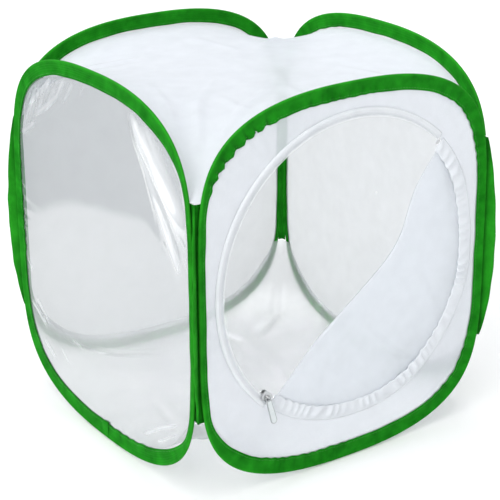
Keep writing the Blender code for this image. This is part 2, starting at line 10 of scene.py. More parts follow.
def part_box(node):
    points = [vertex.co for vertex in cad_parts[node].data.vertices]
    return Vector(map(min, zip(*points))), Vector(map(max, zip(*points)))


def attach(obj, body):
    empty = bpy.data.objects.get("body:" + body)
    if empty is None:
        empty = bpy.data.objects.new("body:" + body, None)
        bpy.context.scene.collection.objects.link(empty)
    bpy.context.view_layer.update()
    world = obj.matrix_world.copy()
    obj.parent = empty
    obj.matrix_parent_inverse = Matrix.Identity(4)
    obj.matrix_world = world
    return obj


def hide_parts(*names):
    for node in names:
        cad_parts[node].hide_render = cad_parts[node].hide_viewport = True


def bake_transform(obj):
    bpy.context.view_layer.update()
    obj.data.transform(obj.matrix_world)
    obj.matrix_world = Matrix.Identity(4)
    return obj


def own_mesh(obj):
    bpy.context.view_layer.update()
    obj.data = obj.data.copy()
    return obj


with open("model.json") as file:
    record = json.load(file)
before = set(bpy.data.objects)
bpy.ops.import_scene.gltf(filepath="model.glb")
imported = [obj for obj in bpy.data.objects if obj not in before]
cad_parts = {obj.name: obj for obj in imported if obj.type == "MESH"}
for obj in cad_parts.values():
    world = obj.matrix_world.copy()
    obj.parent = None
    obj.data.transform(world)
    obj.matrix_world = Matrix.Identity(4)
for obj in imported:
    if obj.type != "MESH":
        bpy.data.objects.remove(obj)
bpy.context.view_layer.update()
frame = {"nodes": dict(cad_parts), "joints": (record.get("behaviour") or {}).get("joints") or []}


# The camera stands before the left front corner, well above the table, with a long lens turned to the
# cage's middle. The picture is cut a little off the lens's axis, which the two shifts repeat.
front_low, front_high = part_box("front_edge_tape")
back_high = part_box("back_edge_tape")[1]
left_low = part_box("left_edge_tape")[0]
right_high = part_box("right_edge_tape")[1]
cage_middle = 0.5 * np.array(
    [left_low.x + right_high.x, front_low.y + back_high.y, front_low.z + front_high.z]
)
camera_distance = 1.4005
bearing = math.radians(-34.503)
rise = math.radians(20.283)
roll = -0.00797


def put_in_scene(name, data):
    thing = bpy.data.objects.new(name, data)
    bpy.context.scene.collection.objects.link(thing)
    return thing


camera_data = bpy.data.cameras.new("camera")
camera_data.sensor_width = 36.0
camera_data.lens = 112.43
camera_data.shift_x = 0.0092
camera_data.shift_y = -0.05085
to_camera = Vector(
    (math.sin(bearing) * math.cos(rise), -math.cos(bearing) * math.cos(rise), math.sin(rise))
)
level_right = Vector((0, 0, 1)).cross(to_camera).normalized()
level_up = to_camera.cross(level_right)
picture_right = level_right * math.cos(roll) + level_up * math.sin(roll)
picture_up = level_up * math.cos(roll) - level_right * math.sin(roll)
stand = Matrix((picture_right, picture_up, to_camera)).transposed().to_4x4()
stand.translation = Vector(cage_middle) + to_camera * camera_distance
camera = put_in_scene("camera", camera_data)
camera.matrix_world = stand
bpy.context.scene.camera = camera


# The light is a bright, even studio: a broad soft light overhead, and a broad one from the left, which the
# film and the left hoop face. Each has a direction, a strength and a spread in degrees.
for name, direction, strength, spread in (
    ("light overhead", (0.10, -0.12, -1.0), 1.25, 75.0),
    ("light from the left", (1.0, 0.30, -0.50), 1.52, 50.0),
):
    light = bpy.data.lights.new(name, "SUN")
    light.energy = strength
    light.angle = math.radians(spread)
    lamp = put_in_scene(name, light)
    lamp.rotation_euler = Vector(direction).to_track_quat("-Z", "Y").to_euler()


# The room is white all round. It lights the cage at a plain level a little under white, and is white where
# it is looked at, straight or by mirror or cloth.
def give(node, inputs):
    """Gives a node's inputs plain values, or other nodes' outputs to follow."""
    for key, value in inputs.items():
        if isinstance(value, bpy.types.NodeSocket):
            node.id_data.links.new(value, node.inputs[key])
        else:
            node.inputs[key].default_value = value


def add_node(holder, kind, inputs=None, **settings):
    """Adds a node to a material, the world or a tree of nodes."""
    made = getattr(holder, "node_tree", holder).nodes.new(kind)
    for key, value in settings.items():
        setattr(made, key, value)
    give(made, inputs or {})
    return made


def reckoned(holder, operation, *values):
    """The result of a sum on plain values and other nodes' outputs."""
    return add_node(holder, "ShaderNodeMath", dict(enumerate(values)), operation=operation).outputs[0]


def mixed(material, share, first, second):
    """A colour that goes from the first to the second as the share goes from 0 to 1."""
    first, second = (
        colour if isinstance(colour, bpy.types.NodeSocket) else (*colour, 1.0) for colour in (first, second)
    )
    mix = add_node(material, "ShaderNodeMix", {0: share, 6: first, 7: second}, data_type="RGBA")
    return mix.outputs[2]


def between(material, value, given, wanted, **settings):
    """Carries a value over from one range to another, and holds it at both ends."""
    inputs = {"Value": value, "From Min": given[0], "From Max": given[1]}
    inputs.update({"To Min": wanted[0], "To Max": wanted[1]})
    return add_node(material, "ShaderNodeMapRange", inputs, **settings).outputs["Result"]


pure_white = (1.0, 1.0, 1.0)
room_light = (0.689, 0.699, 0.710)
world = bpy.data.worlds.new("white room")
bpy.context.scene.world = world
world.use_nodes = True
bpy.context.scene.view_settings.view_transform = "Standard"
room_rays = add_node(world, "ShaderNodeLightPath").outputs
looked_at = room_rays["Is Camera Ray"]
for way in ("Is Glossy Ray", "Is Transmission Ray"):
    looked_at = reckoned(world, "MAXIMUM", looked_at, room_rays[way])
room_colour = mixed(world, looked_at, room_light, pure_white)
give(world.node_tree.nodes["Background"], {"Color": room_colour})


# The table under the cage is white paper that runs on out of sight. Seen straight, it keeps the cage's soft
# shadow. Far off to the left it is painted dark grey for glossy rays alone: a painted reflection in the film.
paper_white = (0.88, 0.88, 0.88)
painted_reflection_grey = (0.08, 0.09, 0.10)
toward_painted_reflection = (-0.69, 0.725, 0.0)
painted_reflection_starts = (0.66, 0.71)
paper_lift_seen = 0.08
# How brightly the paper glows when seen through cloth, with no shade of its own: painted light
painted_glow_through_cloth = 1.06
half_table = 9.0
table_below_cage = 0.0003
paper = bpy.data.materials.new("white paper")
paper.use_nodes = True
paper.node_tree.nodes.remove(paper.node_tree.nodes["Principled BSDF"])
paper_rays = add_node(paper, "ShaderNodeLightPath").outputs
paper_place = add_node(paper, "ShaderNodeTexCoord").outputs["Object"]
away_left = add_node(
    paper, "ShaderNodeVectorMath", {0: paper_place, 1: toward_painted_reflection}, operation="DOT_PRODUCT"
).outputs["Value"]
far_left = between(paper, away_left, painted_reflection_starts, (0.0, 1.0), interpolation_type="SMOOTHSTEP")
# Painted reflection: dark grey far to the left, for glossy rays alone
mirrored = reckoned(paper, "MULTIPLY", far_left, paper_rays["Is Glossy Ray"])
paper_colour = mixed(paper, mirrored, paper_white, painted_reflection_grey)
# Seen through cloth, the paper has no shade and only glows: painted light under the floor cloth
paper_colour = mixed(paper, paper_rays["Is Transmission Ray"], paper_colour, (0.0, 0.0, 0.0))
lit_paper = add_node(paper, "ShaderNodeBsdfDiffuse", {"Color": paper_colour})
lift_seen = reckoned(paper, "MULTIPLY", paper_rays["Is Camera Ray"], paper_lift_seen)
lift = reckoned(
    paper, "MULTIPLY_ADD", paper_rays["Is Transmission Ray"], painted_glow_through_cloth, lift_seen
)
glow = add_node(paper, "ShaderNodeEmission", {"Strength": lift})
paper_surface = add_node(paper, "ShaderNodeAddShader", {0: lit_paper.outputs[0], 1: glow.outputs[0]})
give(paper.node_tree.nodes["Material Output"], {"Surface": paper_surface.outputs[0]})
table_mesh = bpy.data.meshes.new("table")
table_corners = [(x * half_table, y * half_table, 0) for x, y in ((-1, -1), (1, -1), (1, 1), (-1, 1))]
table_mesh.from_pydata(table_corners, [], [(0, 1, 2, 3)])
table_mesh.materials.append(paper)
table = put_in_scene("table", table_mesh)
table.location.z = -table_below_cage


# The four edge tapes: green woven polyester binding, folded in two over the hoop wire and the edge of the
# panel, and stitched close to its free edge. It is gathered narrower down the sewn corners, and puckers
# where it was eased round the arcs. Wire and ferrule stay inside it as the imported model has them.
film_low, film_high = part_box("left_panel_film")
strip_low, strip_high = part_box("front_left_corner_tape")
hoop_half_width = (front_high.x - front_low.x) / 2
hoop_half_height = (front_high.z - front_low.z) / 2
panel_plane = cage_middle[0] - (film_low.x + film_high.x) / 2
seam = (strip_high.z - strip_low.z) / 2
side_turns = {"front": 0.0, "right": 90.0, "back": 180.0, "left": 270.0}
squareness_across = 2.5
squareness_up = 4.8


def ways_of(side):
    """The level way along a side of the cage, to the right as seen from outside, and the way straight out."""
    turn = math.radians(side_turns[side])
    along = np.array([math.cos(turn), math.sin(turn), 0.0])
    return along, np.array([along[1], -along[0], 0.0])


def on_side(side, along, up, out):
    """Points on a side of the cage: along it and up from its middle, and out of its plane, in metres."""
    along_way, out_way = ways_of(side)
    along, up, out = (part[..., None] for part in np.broadcast_arrays(along, up, out))
    upright = np.array([0.0, 0.0, 1.0])
    return cage_middle + along * along_way + up * upright + (panel_plane + out) * out_way


def grid_piece(name, points, uv, material, loop_rows=False, loop_columns=False, toward=None):
    """A piece from rows of points. A row or column that closes on itself has one more uv than points."""
    rows, columns = points.shape[:2]
    i, j = np.meshgrid(
        np.arange(rows if loop_rows else rows - 1),
        np.arange(columns if loop_columns else columns - 1),
        indexing="ij",
    )
    i, j = i.ravel(), j.ravel()
    corners = [(i, j), (i + 1, j), (i + 1, j + 1), (i, j + 1)]
    faces = np.stack([(a % rows) * columns + b % columns for a, b in corners], axis=1)
    corner_uv = np.stack([uv[a, b] for a, b in corners], axis=1)
    mesh = bpy.data.meshes.new(name)
    mesh.from_pydata(points.reshape(-1, 3).tolist(), [], faces.tolist())
    layer = mesh.uv_layers.new(name="metres")
    layer.data.foreach_set("uv", corner_uv.astype(np.float32).ravel())
    shape = bmesh.new()
    shape.from_mesh(mesh)
    if toward is None:
        bmesh.ops.recalc_face_normals(shape, faces=shape.faces)
    else:
        facing = sum(face.normal.dot(Vector(toward)) * face.calc_area() for face in shape.faces)
        if facing < 0:
            bmesh.ops.reverse_faces(shape, faces=shape.faces)
    shape.to_mesh(mesh)
    shape.free()
    mesh.shade_smooth()
    mesh.materials.append(material)
    return put_in_scene(name, mesh)


def set_attribute(piece, name, values):
    attribute = piece.data.attributes.new(name, "FLOAT", "POINT")
    attribute.data.foreach_set("value", np.asarray(values, np.float32).ravel())


def smooth_step(value):
    value = np.clip(value, 0.0, 1.0)
    return value * value * (3 - 2 * value)


def hump(distance, reach):
    """A soft hump, 1 high over its middle and nearly nothing past twice its reach."""
    return np.exp(-((distance / reach) ** 2))


def length_so_far(x, y):
    """The length run along a line of points, from nothing at its first."""
    return np.concatenate([[0.0], np.cumsum(np.hypot(np.diff(x), np.diff(y)))])


# Points all round the hoop's outer edge, a superellipse, with the length run so far
edge_turn = np.linspace(0, 2 * math.pi, 40001)
edge_across, edge_up = np.cos(edge_turn), np.sin(edge_turn)
edge_u = np.sign(edge_across) * np.abs(edge_across) ** (2 / squareness_across) * hoop_half_width
edge_v = np.sign(edge_up) * np.abs(edge_up) ** (2 / squareness_up) * hoop_half_height
edge_run = length_so_far(edge_u, edge_v)
hoop_length = edge_run[-1]


def outline_at(run):
    """The hoop's outer edge at a length along it: place in the panel, and the direction straight out."""
    u = np.interp(run % hoop_length, edge_run, edge_u)
    v = np.interp(run % hoop_length, edge_run, edge_v)
    share_u, share_v = np.abs(u / hoop_half_width), np.abs(v / hoop_half_height)
    out_u = squareness_across * np.sign(u) * share_u ** (squareness_across - 1) / hoop_half_width
    out_v = squareness_up * np.sign(v) * share_v ** (squareness_up - 1) / hoop_half_height
    size = np.hypot(out_u, out_v)
    return u, v, out_u / size, out_v / size


def run_at(degrees):
    """The length along the hoop where it is seen at this angle from the panel's middle."""
    angle = np.unwrap(np.arctan2(edge_v, edge_u))
    return float(np.interp(math.radians(degrees % 360), angle, edge_run))


def angle_of(u, v):
    return np.degrees(np.arctan2(v, u)) % 360


def round_the_hoop(count):
    """Even lengths along the hoop, once round."""
    return np.arange(count) * hoop_length / count


# The tape's width down each of a side's two sewn corners, and the heights between which it opens out, as
# shares of the seam. Past them it has one width over the top arc, and one under the bottom arc.
seam_widths = {
    "left": ((0.0112, 0.70, 1.45), (0.0050, 1.12, 1.68)),
    "front": ((0.0064, 0.95, 1.62), (0.0104, 0.60, 1.40)),
    "right": ((0.0092, 0.60, 1.40), (0.0046, 1.00, 1.55)),
    "back": ((0.0046, 1.00, 1.55), (0.0054, 0.90, 1.50)),
}
width_over_top = 0.0134
width_under_floor = {"left": 0.0142, "front": 0.0142, "right": 0.0096, "back": 0.0096}


def tape_width(side, u, v):
    """The tape is gathered narrower down the sewn corners, and opens out over the arcs."""
    at_seam, low, high = (np.where(u < 0, first, last) for first, last in zip(*seam_widths[side]))
    over_arc = np.where(v > 0, width_over_top, width_under_floor[side])
    return at_seam + (over_arc - at_seam) * smooth_step((np.abs(v) / seam - low) / (high - low))


# Where the tape was eased on unevenly, for each side: first and last angle, pleat pitch, how far the free
# edge stands out of the plane and how far it is drawn in, all lengths in metres
gathered_stretches = {
    "front": [
        (112.0, 148.0, 0.0128, 0.00105, 0.00175),
        (78.0, 112.0, 0.0098, 0.00030, 0.00025),
        (22.0, 60.0, 0.0115, 0.00036, 0.00030),
        (232.0, 276.0, 0.0105, 0.00034, 0.00030),
        (300.0, 335.0, 0.0140, 0.00030, 0.00030),
    ],
    "left": [(150.0, 200.0, 0.0120, 0.00030, 0.00020), (262.0, 300.0, 0.0150, 0.00028, 0.00035)],
    "back": [(225.0, 300.0, 0.0125, 0.00060, 0.00090)],
    "right": [(235.0, 290.0, 0.0125, 0.00060, 0.00090), (25.0, 75.0, 0.0160, 0.00030, 0.00030)],
}
stretch_end_share = 0.22
# Puckers this high get the full painted shade in their valleys
full_crease_height = 0.00075

# Small ripples all round the free edge, out of the plane and along it: height, number round the hoop, and
# how many times the side's own phase shifts them
side_phases = {"front": 0.4, "right": 1.7, "back": 2.9, "left": 4.1}
ripples_out = ((0.00010, 23, 1), (0.00007, 41, 2))
ripples_along = ((0.00016, 17, 3), (0.00012, 31, 1))


def gathers(side, run, degrees):
    """Along the hoop: how far the tape's free edge stands out, how far it is drawn in, and the painted shade
    in the valleys of its puckers.
    """
    phase = side_phases[side]
    turn = 2 * math.pi * run / hoop_length
    stands = sum(height * np.sin(count * turn + times * phase) for height, count, times in ripples_out)
    drawn = sum(height * np.sin(count * turn + times * phase) for height, count, times in ripples_along)
    crease = np.zeros_like(run)
    for first, last, pitch, stands_out, draws_in in gathered_stretches[side]:
        inside = (degrees - first) % 360
        span = last - first
        end = stretch_end_share * span
        share = np.where(inside < span, smooth_step(inside / end) * smooth_step((span - inside) / end), 0.0)
        beat = 2 * math.pi * run / pitch + 0.9 * np.sin(2 * math.pi * run / (pitch * 3.7) + phase)
        stands = stands + share * stands_out * np.sin(beat)
        drawn = drawn + share * draws_in * np.sin(beat + 1.1)
        # Painted shade in each pleat's valley, fuller as the pleat stands higher
        depth = (stands_out / full_crease_height) ** 0.5
        crease = crease + share * np.clip(np.sin(beat + 2.4), 0, 1) ** 5 * depth
    return stands, drawn, crease


bead = 0.00165
cloth = 0.0004
wing = 0.00095
wing_reached = 0.0046
hem_inset = 0.0021
hem_depth = 0.00012
hem_reach = 0.0006
most_let_out = 0.0006
lap_run = run_at(272.4)
lap_length = 0.012
lap_starts_over = 0.004
lap_lift = 0.00075
lap_past_edge = 0.0010
lap_edge = 0.0007
lap_edge_shade = 1.6
wear_and_sheen_reach = 0.0012

# More rows close to the lap's edge keep its step sharp
beside_lap = np.array([-0.0009, -0.0005, -0.0001, 0.0001, 0.0005])


def drawn_width(side, u, v, drawn):
    """The tape's width where its free edge is drawn in, or let out a little."""
    return tape_width(side, u, v) - np.maximum(drawn, -most_let_out)


def looseness(inset, width):
    """How far the tape may stand out of the plane: not at all on the wire, and fully at its free edge."""
    return smooth_step((inset - 2 * bead) / (width - 2 * bead))


def tape_skin(inset, width):
    """Half the tape's outer thickness at a distance in from the hoop's outer edge."""
    taper = wing + (bead - wing) * (1 - smooth_step((inset - bead) / wing_reached))
    return taper - hem_depth * hump(inset - width + hem_inset, hem_reach)


def side_by_side(parts, rows):
    """Joins parts of a section, each given once or for every row."""
    return np.concatenate([np.broadcast_to(part, (rows, part.shape[1])) for part in parts], axis=1)


def make_tape(side, material, count=560):
    run = round_the_hoop(count)
    if side == "left":
        run = np.sort(np.append(run, lap_run + beside_lap))
    run = run[:, None]
    u, v, out_u, out_v = outline_at(run)
    stands, drawn, crease = gathers(side, run, angle_of(u, v))
    width = drawn_width(side, u, v, drawn)
    lap = np.zeros_like(run)
    if side == "left":
        lap = np.where((run > lap_run - lap_length) & (run <= lap_run), 1.0, 0.0)
        lap = lap * smooth_step((run - lap_run + lap_length) / lap_starts_over)
        width = width + lap_past_edge * lap
        # A line of painted shade along the lap's edge
        crease = crease + np.where(np.abs(run - lap_run) < lap_edge, lap_edge_shade, 0.0)

    # The section runs from the free edge over the front, round the bead and back, then returns inside
    steps = np.linspace(1.0, 0.0, 8)[None, :]
    outer_inset = bead + (width - bead) * steps
    outer_off = tape_skin(outer_inset, width)
    outer_turn = np.linspace(0, math.pi, 11)[None, 1:-1]
    inner_steps = np.linspace(1.0, 0.0, 5)[None, :]
    inner_inset = bead + (width - bead) * inner_steps
    inner_off = tape_skin(inner_inset, width) - cloth
    inner_turn = np.linspace(math.pi, 0, 8)[None, 1:-1]
    inset = [outer_inset, bead - bead * np.sin(outer_turn), outer_inset[:, ::-1]]
    inset += [inner_inset, bead - (bead - cloth) * np.sin(inner_turn), inner_inset[:, ::-1]]
    offset = [outer_off + lap_lift * lap * (1 - 0.6 * (1 - steps)), bead * np.cos(outer_turn)]
    offset += [-outer_off[:, ::-1], -inner_off, (bead - cloth) * np.cos(inner_turn), inner_off[:, ::-1]]
    inset = side_by_side(inset, len(run))
    free = looseness(inset, width)
    offset = side_by_side(offset, len(run)) + stands * free
    points = on_side(side, u - out_u * inset, v - out_v * inset, offset)

    around = length_so_far(inset[0], offset[0])
    around = np.append(around, around[-1] + cloth)
    along = np.append(run, hoop_length)
    uv = np.stack(np.broadcast_arrays(along[:, None], around[None, :]), axis=-1)
    piece = grid_piece(f"{side}_tape", points, uv, material, loop_rows=True, loop_columns=True)
    # Painted shade in the valleys of the puckers, less where the tape lies on the wire
    set_attribute(piece, "crease", np.clip(crease * (0.25 + 0.75 * free), 0, 1))
    # A lighter green along the outer edge over the wire: partly wear, partly painted sheen
    set_attribute(piece, "rub", hump(inset, wear_and_sheen_reach))
    return piece


# A wave texture at scale 1 has a band every 0.31416 metres. The weft lies in fewer threads than the warp.
band_pitch = 0.31416
weft_share = 0.8


def new_material(name):
    material = bpy.data.materials.new(name)
    material.use_nodes = True
    return material


def shader_of(material):
    return material.node_tree.nodes["Principled BSDF"]


def threads(material, direction, pitch, distortion, detail):
    """Bands along the uv, one for each thread."""
    place = add_node(material, "ShaderNodeTexCoord").outputs["UV"]
    inputs = {"Vector": place, "Scale": band_pitch / pitch, "Distortion": distortion, "Detail": detail}
    return add_node(material, "ShaderNodeTexWave", inputs, bands_direction=direction).outputs["Fac"]


def mottle(material, size, detail=2.0, roughness=0.5):
    """An even noise in the piece's own space, from 0 to 1."""
    place = add_node(material, "ShaderNodeTexCoord").outputs["Object"]
    inputs = {"Vector": place, "Scale": size, "Detail": detail, "Roughness": roughness}
    return add_node(material, "ShaderNodeTexNoise", inputs).outputs["Fac"]


def mark(material, name):
    return add_node(material, "ShaderNodeAttribute", attribute_name=name).outputs["Fac"]


def bumped(material, height, strength, distance):
    inputs = {"Height": height, "Strength": strength, "Distance": distance}
    return add_node(material, "ShaderNodeBump", inputs).outputs["Normal"]


def tint(material, share, colour):
    """Mixes a colour into the one that the material has so far."""
    shader = shader_of(material)
    own = shader.inputs["Base Color"].links[0].from_socket
    give(shader, {"Base Color": mixed(material, share, own, colour)})


def woven(name, dark, light, roughness, pitch, relief, sheen=0.0):
    """Cloth with a plain weave along the uv, in metres, and a colour that drifts a little."""
    material = new_material(name)
    warp = threads(material, "X", pitch, distortion=0.25, detail=1.0)
    weft = threads(material, "Y", pitch / weft_share, distortion=0.25, detail=1.0)
    weave = reckoned(material, "MULTIPLY", warp, weft)
    drift = mottle(material, 75.0, detail=3.0, roughness=0.6)
    tone = reckoned(material, "MULTIPLY_ADD", weave, 0.12, drift)
    shade = between(material, tone, (0.30, 0.80), (0.0, 1.0))
    rough = between(material, weave, (0.0, 1.0), (min(1.0, roughness + 0.12), roughness - 0.08))
    surface = {
        "Base Color": mixed(material, shade, dark, light),
        "Roughness": rough,
        "Normal": bumped(material, weave, relief, 0.4 * pitch),
        "Sheen Weight": sheen,
        "Sheen Roughness": 0.45,
    }
    give(shader_of(material), surface)
    return material


green_tape = woven(
    "green binding tape",
    dark=(0.002, 0.138, 0.002),
    light=(0.013, 0.275, 0.010),
    roughness=0.66,
    pitch=0.0005,
    relief=0.35,
)
give(shader_of(green_tape), {"Specular IOR Level": 0.07})
# Painted shade darkens the tape in the valleys of its puckers, at the lap's edge and where the corner strips
# turn in. A lighter green along the outer edge and on the corner flanges is partly wear, partly painted
# sheen.
for name, most, colour in (("crease", 0.62, (0.001, 0.045, 0.002)), ("rub", 0.30, (0.045, 0.430, 0.030))):
    tint(green_tape, reckoned(green_tape, "MULTIPLY", mark(green_tape, name), most), colour)

tapes = {}
for side in ("left", "front", "back", "right"):
    tapes[side] = make_tape(side, green_tape)
    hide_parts(f"{side}_edge_tape")
    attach(tapes[side], f"{side}_side")


# The stitches in the tapes: one line of lockstitch in green thread, two millimetres from the free edge,
# seen on both faces. One stitch is drawn, and set along the line over and over.
def closed_tube(name, rings):
    """A small closed shape from rings of points, for one stitch or one turn of the zipper's coil."""
    count, sides = rings.shape[:2]
    faces = [tuple(range(sides))[::-1], tuple((count - 1) * sides + i for i in range(sides))]
    for k in range(count - 1):
        for i in range(sides):
            j = (i + 1) % sides
            faces.append((k * sides + i, k * sides + j, (k + 1) * sides + j, (k + 1) * sides + i))
    mesh = bpy.data.meshes.new(name)
    mesh.from_pydata(rings.reshape(-1, 3).tolist(), [], faces)
    mesh.update()
    return bpy.data.objects.new(name, mesh)


def rounded_rod(name, length, radius, sides=6):
    """A short thread that dips into the cloth at both ends, drawn along X with Z out of the cloth."""
    length_shares = np.array([-1.0, -0.72, -0.3, 0.3, 0.72, 1.0])
    thickness = np.array([0.25, 0.8, 1.0, 1.0, 0.8, 0.25])[:, None] * radius
    height = np.array([-0.9, -0.1, 0.25, 0.25, -0.1, -0.9])[:, None] * radius
    turn = np.arange(sides) * 2 * math.pi / sides
    rings = np.zeros((len(length_shares), sides, 3))
    rings[..., 0] = length_shares[:, None] * length / 2
    rings[..., 1] = thickness * np.cos(turn)
    rings[..., 2] = height + thickness * np.sin(turn)
    return closed_tube(name, rings)


def repeating_nodes():
    """Sets one shape on every point given, turned by the point's own directions, a little unevenly."""
    tree = bpy.data.node_groups.new("set a shape along a line", "GeometryNodeTree")
    for name, kind in (
        ("Places", "NodeSocketGeometry"),
        ("Shape", "NodeSocketObject"),
        ("Finish", "NodeSocketMaterial"),
        ("Unevenness", "NodeSocketFloat"),
        ("Seed", "NodeSocketInt"),
    ):
        tree.interface.new_socket(name, in_out="INPUT", socket_type=kind)
    tree.interface.new_socket("Result", in_out="OUTPUT", socket_type="NodeSocketGeometry")
    given = add_node(tree, "NodeGroupInput").outputs
    along, out = (
        add_node(tree, "GeometryNodeInputNamedAttribute", {"Name": name}, data_type="FLOAT_VECTOR")
        for name in ("along", "out")
    )
    turn = add_node(
        tree,
        "FunctionNodeAxesToRotation",
        {"Primary Axis": out.outputs["Attribute"], "Secondary Axis": along.outputs["Attribute"]},
        primary_axis="Z",
        secondary_axis="X",
    )
    shape = add_node(tree, "GeometryNodeObjectInfo", {"Object": given["Shape"]})
    least = reckoned(tree, "SUBTRACT", 1.0, given["Unevenness"])
    most = reckoned(tree, "ADD", 1.0, given["Unevenness"])
    chance = add_node(
        tree, "FunctionNodeRandomValue", {2: least, 3: most, "Seed": given["Seed"]}, data_type="FLOAT"
    )
    placed = add_node(
        tree,
        "GeometryNodeInstanceOnPoints",
        {
            "Points": given["Places"],
            "Instance": shape.outputs["Geometry"],
            "Rotation": turn.outputs["Rotation"],
            "Scale": chance.outputs[1],
        },
    )
    real = add_node(tree, "GeometryNodeRealizeInstances", {"Geometry": placed.outputs["Instances"]})
    finished = add_node(
        tree, "GeometryNodeSetMaterial", {"Geometry": real.outputs["Geometry"], "Material": given["Finish"]}
    )
    add_node(tree, "NodeGroupOutput", {"Result": finished.outputs["Geometry"]})
    return tree


repeating = repeating_nodes()


def repeated(name, shape, lines, material, unevenness, seed):
    """One mesh of a shape set along lines of places, with its X along the line and its Z out of the cloth."""
    places, along, out = (np.concatenate(part).reshape(-1, 3) for part in zip(*lines))
    mesh = bpy.data.meshes.new(name)
    mesh.from_pydata(places.tolist(), [], [])
    for key, values in (("along", along), ("out", out)):
        attribute = mesh.attributes.new(key, "FLOAT_VECTOR", "POINT")
        attribute.data.foreach_set("vector", np.asarray(values, np.float32).ravel())
    piece = put_in_scene(name, mesh)
    step = piece.modifiers.new("repeat", "NODES")
    step.node_group = repeating
    given = {"Shape": shape, "Finish": material, "Unevenness": unevenness, "Seed": seed}
    for item in repeating.interface.items_tree:
        if item.name in given:
            step[item.identifier] = given[item.name]
    bpy.context.view_layer.update()
    graph = bpy.context.evaluated_depsgraph_get()
    made = bpy.data.meshes.new_from_object(piece.evaluated_get(graph))
    piece.modifiers.clear()
    piece.data = made
    for key in ("along", "out"):
        if key in made.attributes:
            made.attributes.remove(made.attributes[key])
    made.shade_smooth()
    return piece


stitch_pitch = 0.0031
stitch_inset = 0.0019
stitch_proud = 0.00003
next_along = 0.0005
green_thread = woven(
    "green thread",
    dark=(0.006, 0.17, 0.006),
    light=(0.035, 0.36, 0.028),
    roughness=0.5,
    pitch=0.0003,
    relief=0.2,
    sheen=0.1,
)
tape_stitch = rounded_rod("tape stitch", length=0.0026, radius=0.00019)
for number, side in enumerate(tapes):
    line = round_the_hoop(int(hoop_length / stitch_pitch))
    u, v, out_u, out_v = outline_at(line)
    stands, drawn = gathers(side, line, angle_of(u, v))[:2]
    width = drawn_width(side, u, v, drawn)
    inset = width - stitch_inset
    next_u, next_v, next_out_u, next_out_v = outline_at(line + next_along)
    both_faces = []
    for face in (1, -1):
        off = face * (tape_skin(inset, width) + stitch_proud) + stands * looseness(inset, width)
        here = on_side(side, u - out_u * inset, v - out_v * inset, off)
        ahead = on_side(side, next_u - next_out_u * inset, next_v - next_out_v * inset, off)
        both_faces.append((here, ahead - here, np.tile(ways_of(side)[1] * face, (len(line), 1))))
    stitches = repeated(
        f"{side}_tape_stitches", tape_stitch, both_faces, green_thread, unevenness=0.08, seed=11 + number
    )
    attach(stitches, f"{side}_side")


# The back and right panels and the front one round the door: fine white polyester net, held taut in the
# tape all round. Near the tape it follows the tape's small puckers, and they die out within two centimetres.
net_pitch = 0.0006
net_start = 0.0034
pucker_fade = 0.007
net_slack = 0.0006
net_taut_edge = 0.03
ring_middle = np.array([0.0025, 0.007])
window_radius = 0.1315


def let_light_through(material, share):
    """Thin cloth scatters part of the light through to its other side, with hardly any bending."""
    give(shader_of(material), {"Transmission Weight": share, "IOR": 1.12})


def net(name, thin, thick, colour, through):
    """A fine net: see-through between its threads, with a colour and density that drift a little."""
    darker = [0.93 * part for part in colour]
    material = woven(name, darker, colour, roughness=0.8, pitch=net_pitch, relief=0.25, sheen=0.15)
    warp = threads(material, "X", net_pitch, distortion=0.2, detail=2.0)
    weft = threads(material, "Y", net_pitch, distortion=0.2, detail=2.0)
    thread = reckoned(material, "MAXIMUM", warp, weft)
    density = reckoned(material, "MULTIPLY_ADD", mottle(material, 30.0), 0.3, thread)
    give(shader_of(material), {"Alpha": between(material, density, (0.45, 1.15), (thin, thick))})
    let_light_through(material, through)
    return material


def panel_field(side, count, depths, inner_line):
    """Rows of points from the panel's edge to an inner line, how far past the tape, and how far out."""
    run = round_the_hoop(count)[:, None]
    u, v, out_u, out_v = outline_at(run)
    inner_u, inner_v = inner_line(u, v)
    stands = gathers(side, run, angle_of(u, v))[0]
    rows_u = (u - out_u * net_start) * (1 - depths) + inner_u * depths
    rows_v = (v - out_v * net_start) * (1 - depths) + inner_v * depths
    inset = net_start + depths * np.hypot(inner_u - u, inner_v - v)
    width = tape_width(side, u, v)
    fade = np.exp(-np.maximum(inset - width, 0) / pucker_fade)
    return rows_u, rows_v, inset - width, stands * looseness(inset, width) * fade


def panel_piece(name, side, material, u, v, out):
    uv = np.stack([u, v], axis=-1)
    uv = np.concatenate([uv, uv[:1]], axis=0)
    points = on_side(side, u, v, out)
    return grid_piece(name, points, uv, material, loop_rows=True, toward=ways_of(side)[1])


def net_panel(name, side, material, inner_line, depth_rows, count=360):
    depths = np.linspace(0, 1, depth_rows)[None, :] ** 1.25
    u, v, past_tape, out = panel_field(side, count, depths, inner_line)
    slack = net_slack * smooth_step(past_tape / net_taut_edge)
    out = out + slack * np.sin(u * 41 + 1.3) * np.sin(v * 37 + 0.4)
    return panel_piece(name, side, material, u, v, out)


def nearly_middle(u, v):
    return u * 0.004, v * 0.004


def on_ring(radius, angles):
    """Across and up on the front panel, at a distance from the middle of the door."""
    return ring_middle[0] + radius * np.cos(angles), ring_middle[1] + radius * np.sin(angles)


def ring_wander(angle):
    """The sewn half of the door's rim was drawn in and let out a little as it was gathered."""
    degrees = np.degrees(angle) % 360
    low = np.where(degrees > 180, degrees - 360, degrees)
    return 0.0030 * hump(low + 64, 22) - 0.0050 * hump(low - 6, 24)


def window_edge(u, v):
    """The round opening in the front panel, a little outside the zipper's chain."""
    angle = np.arctan2(v - ring_middle[1], u - ring_middle[0])
    return on_ring(window_radius + ring_wander(angle), angle)


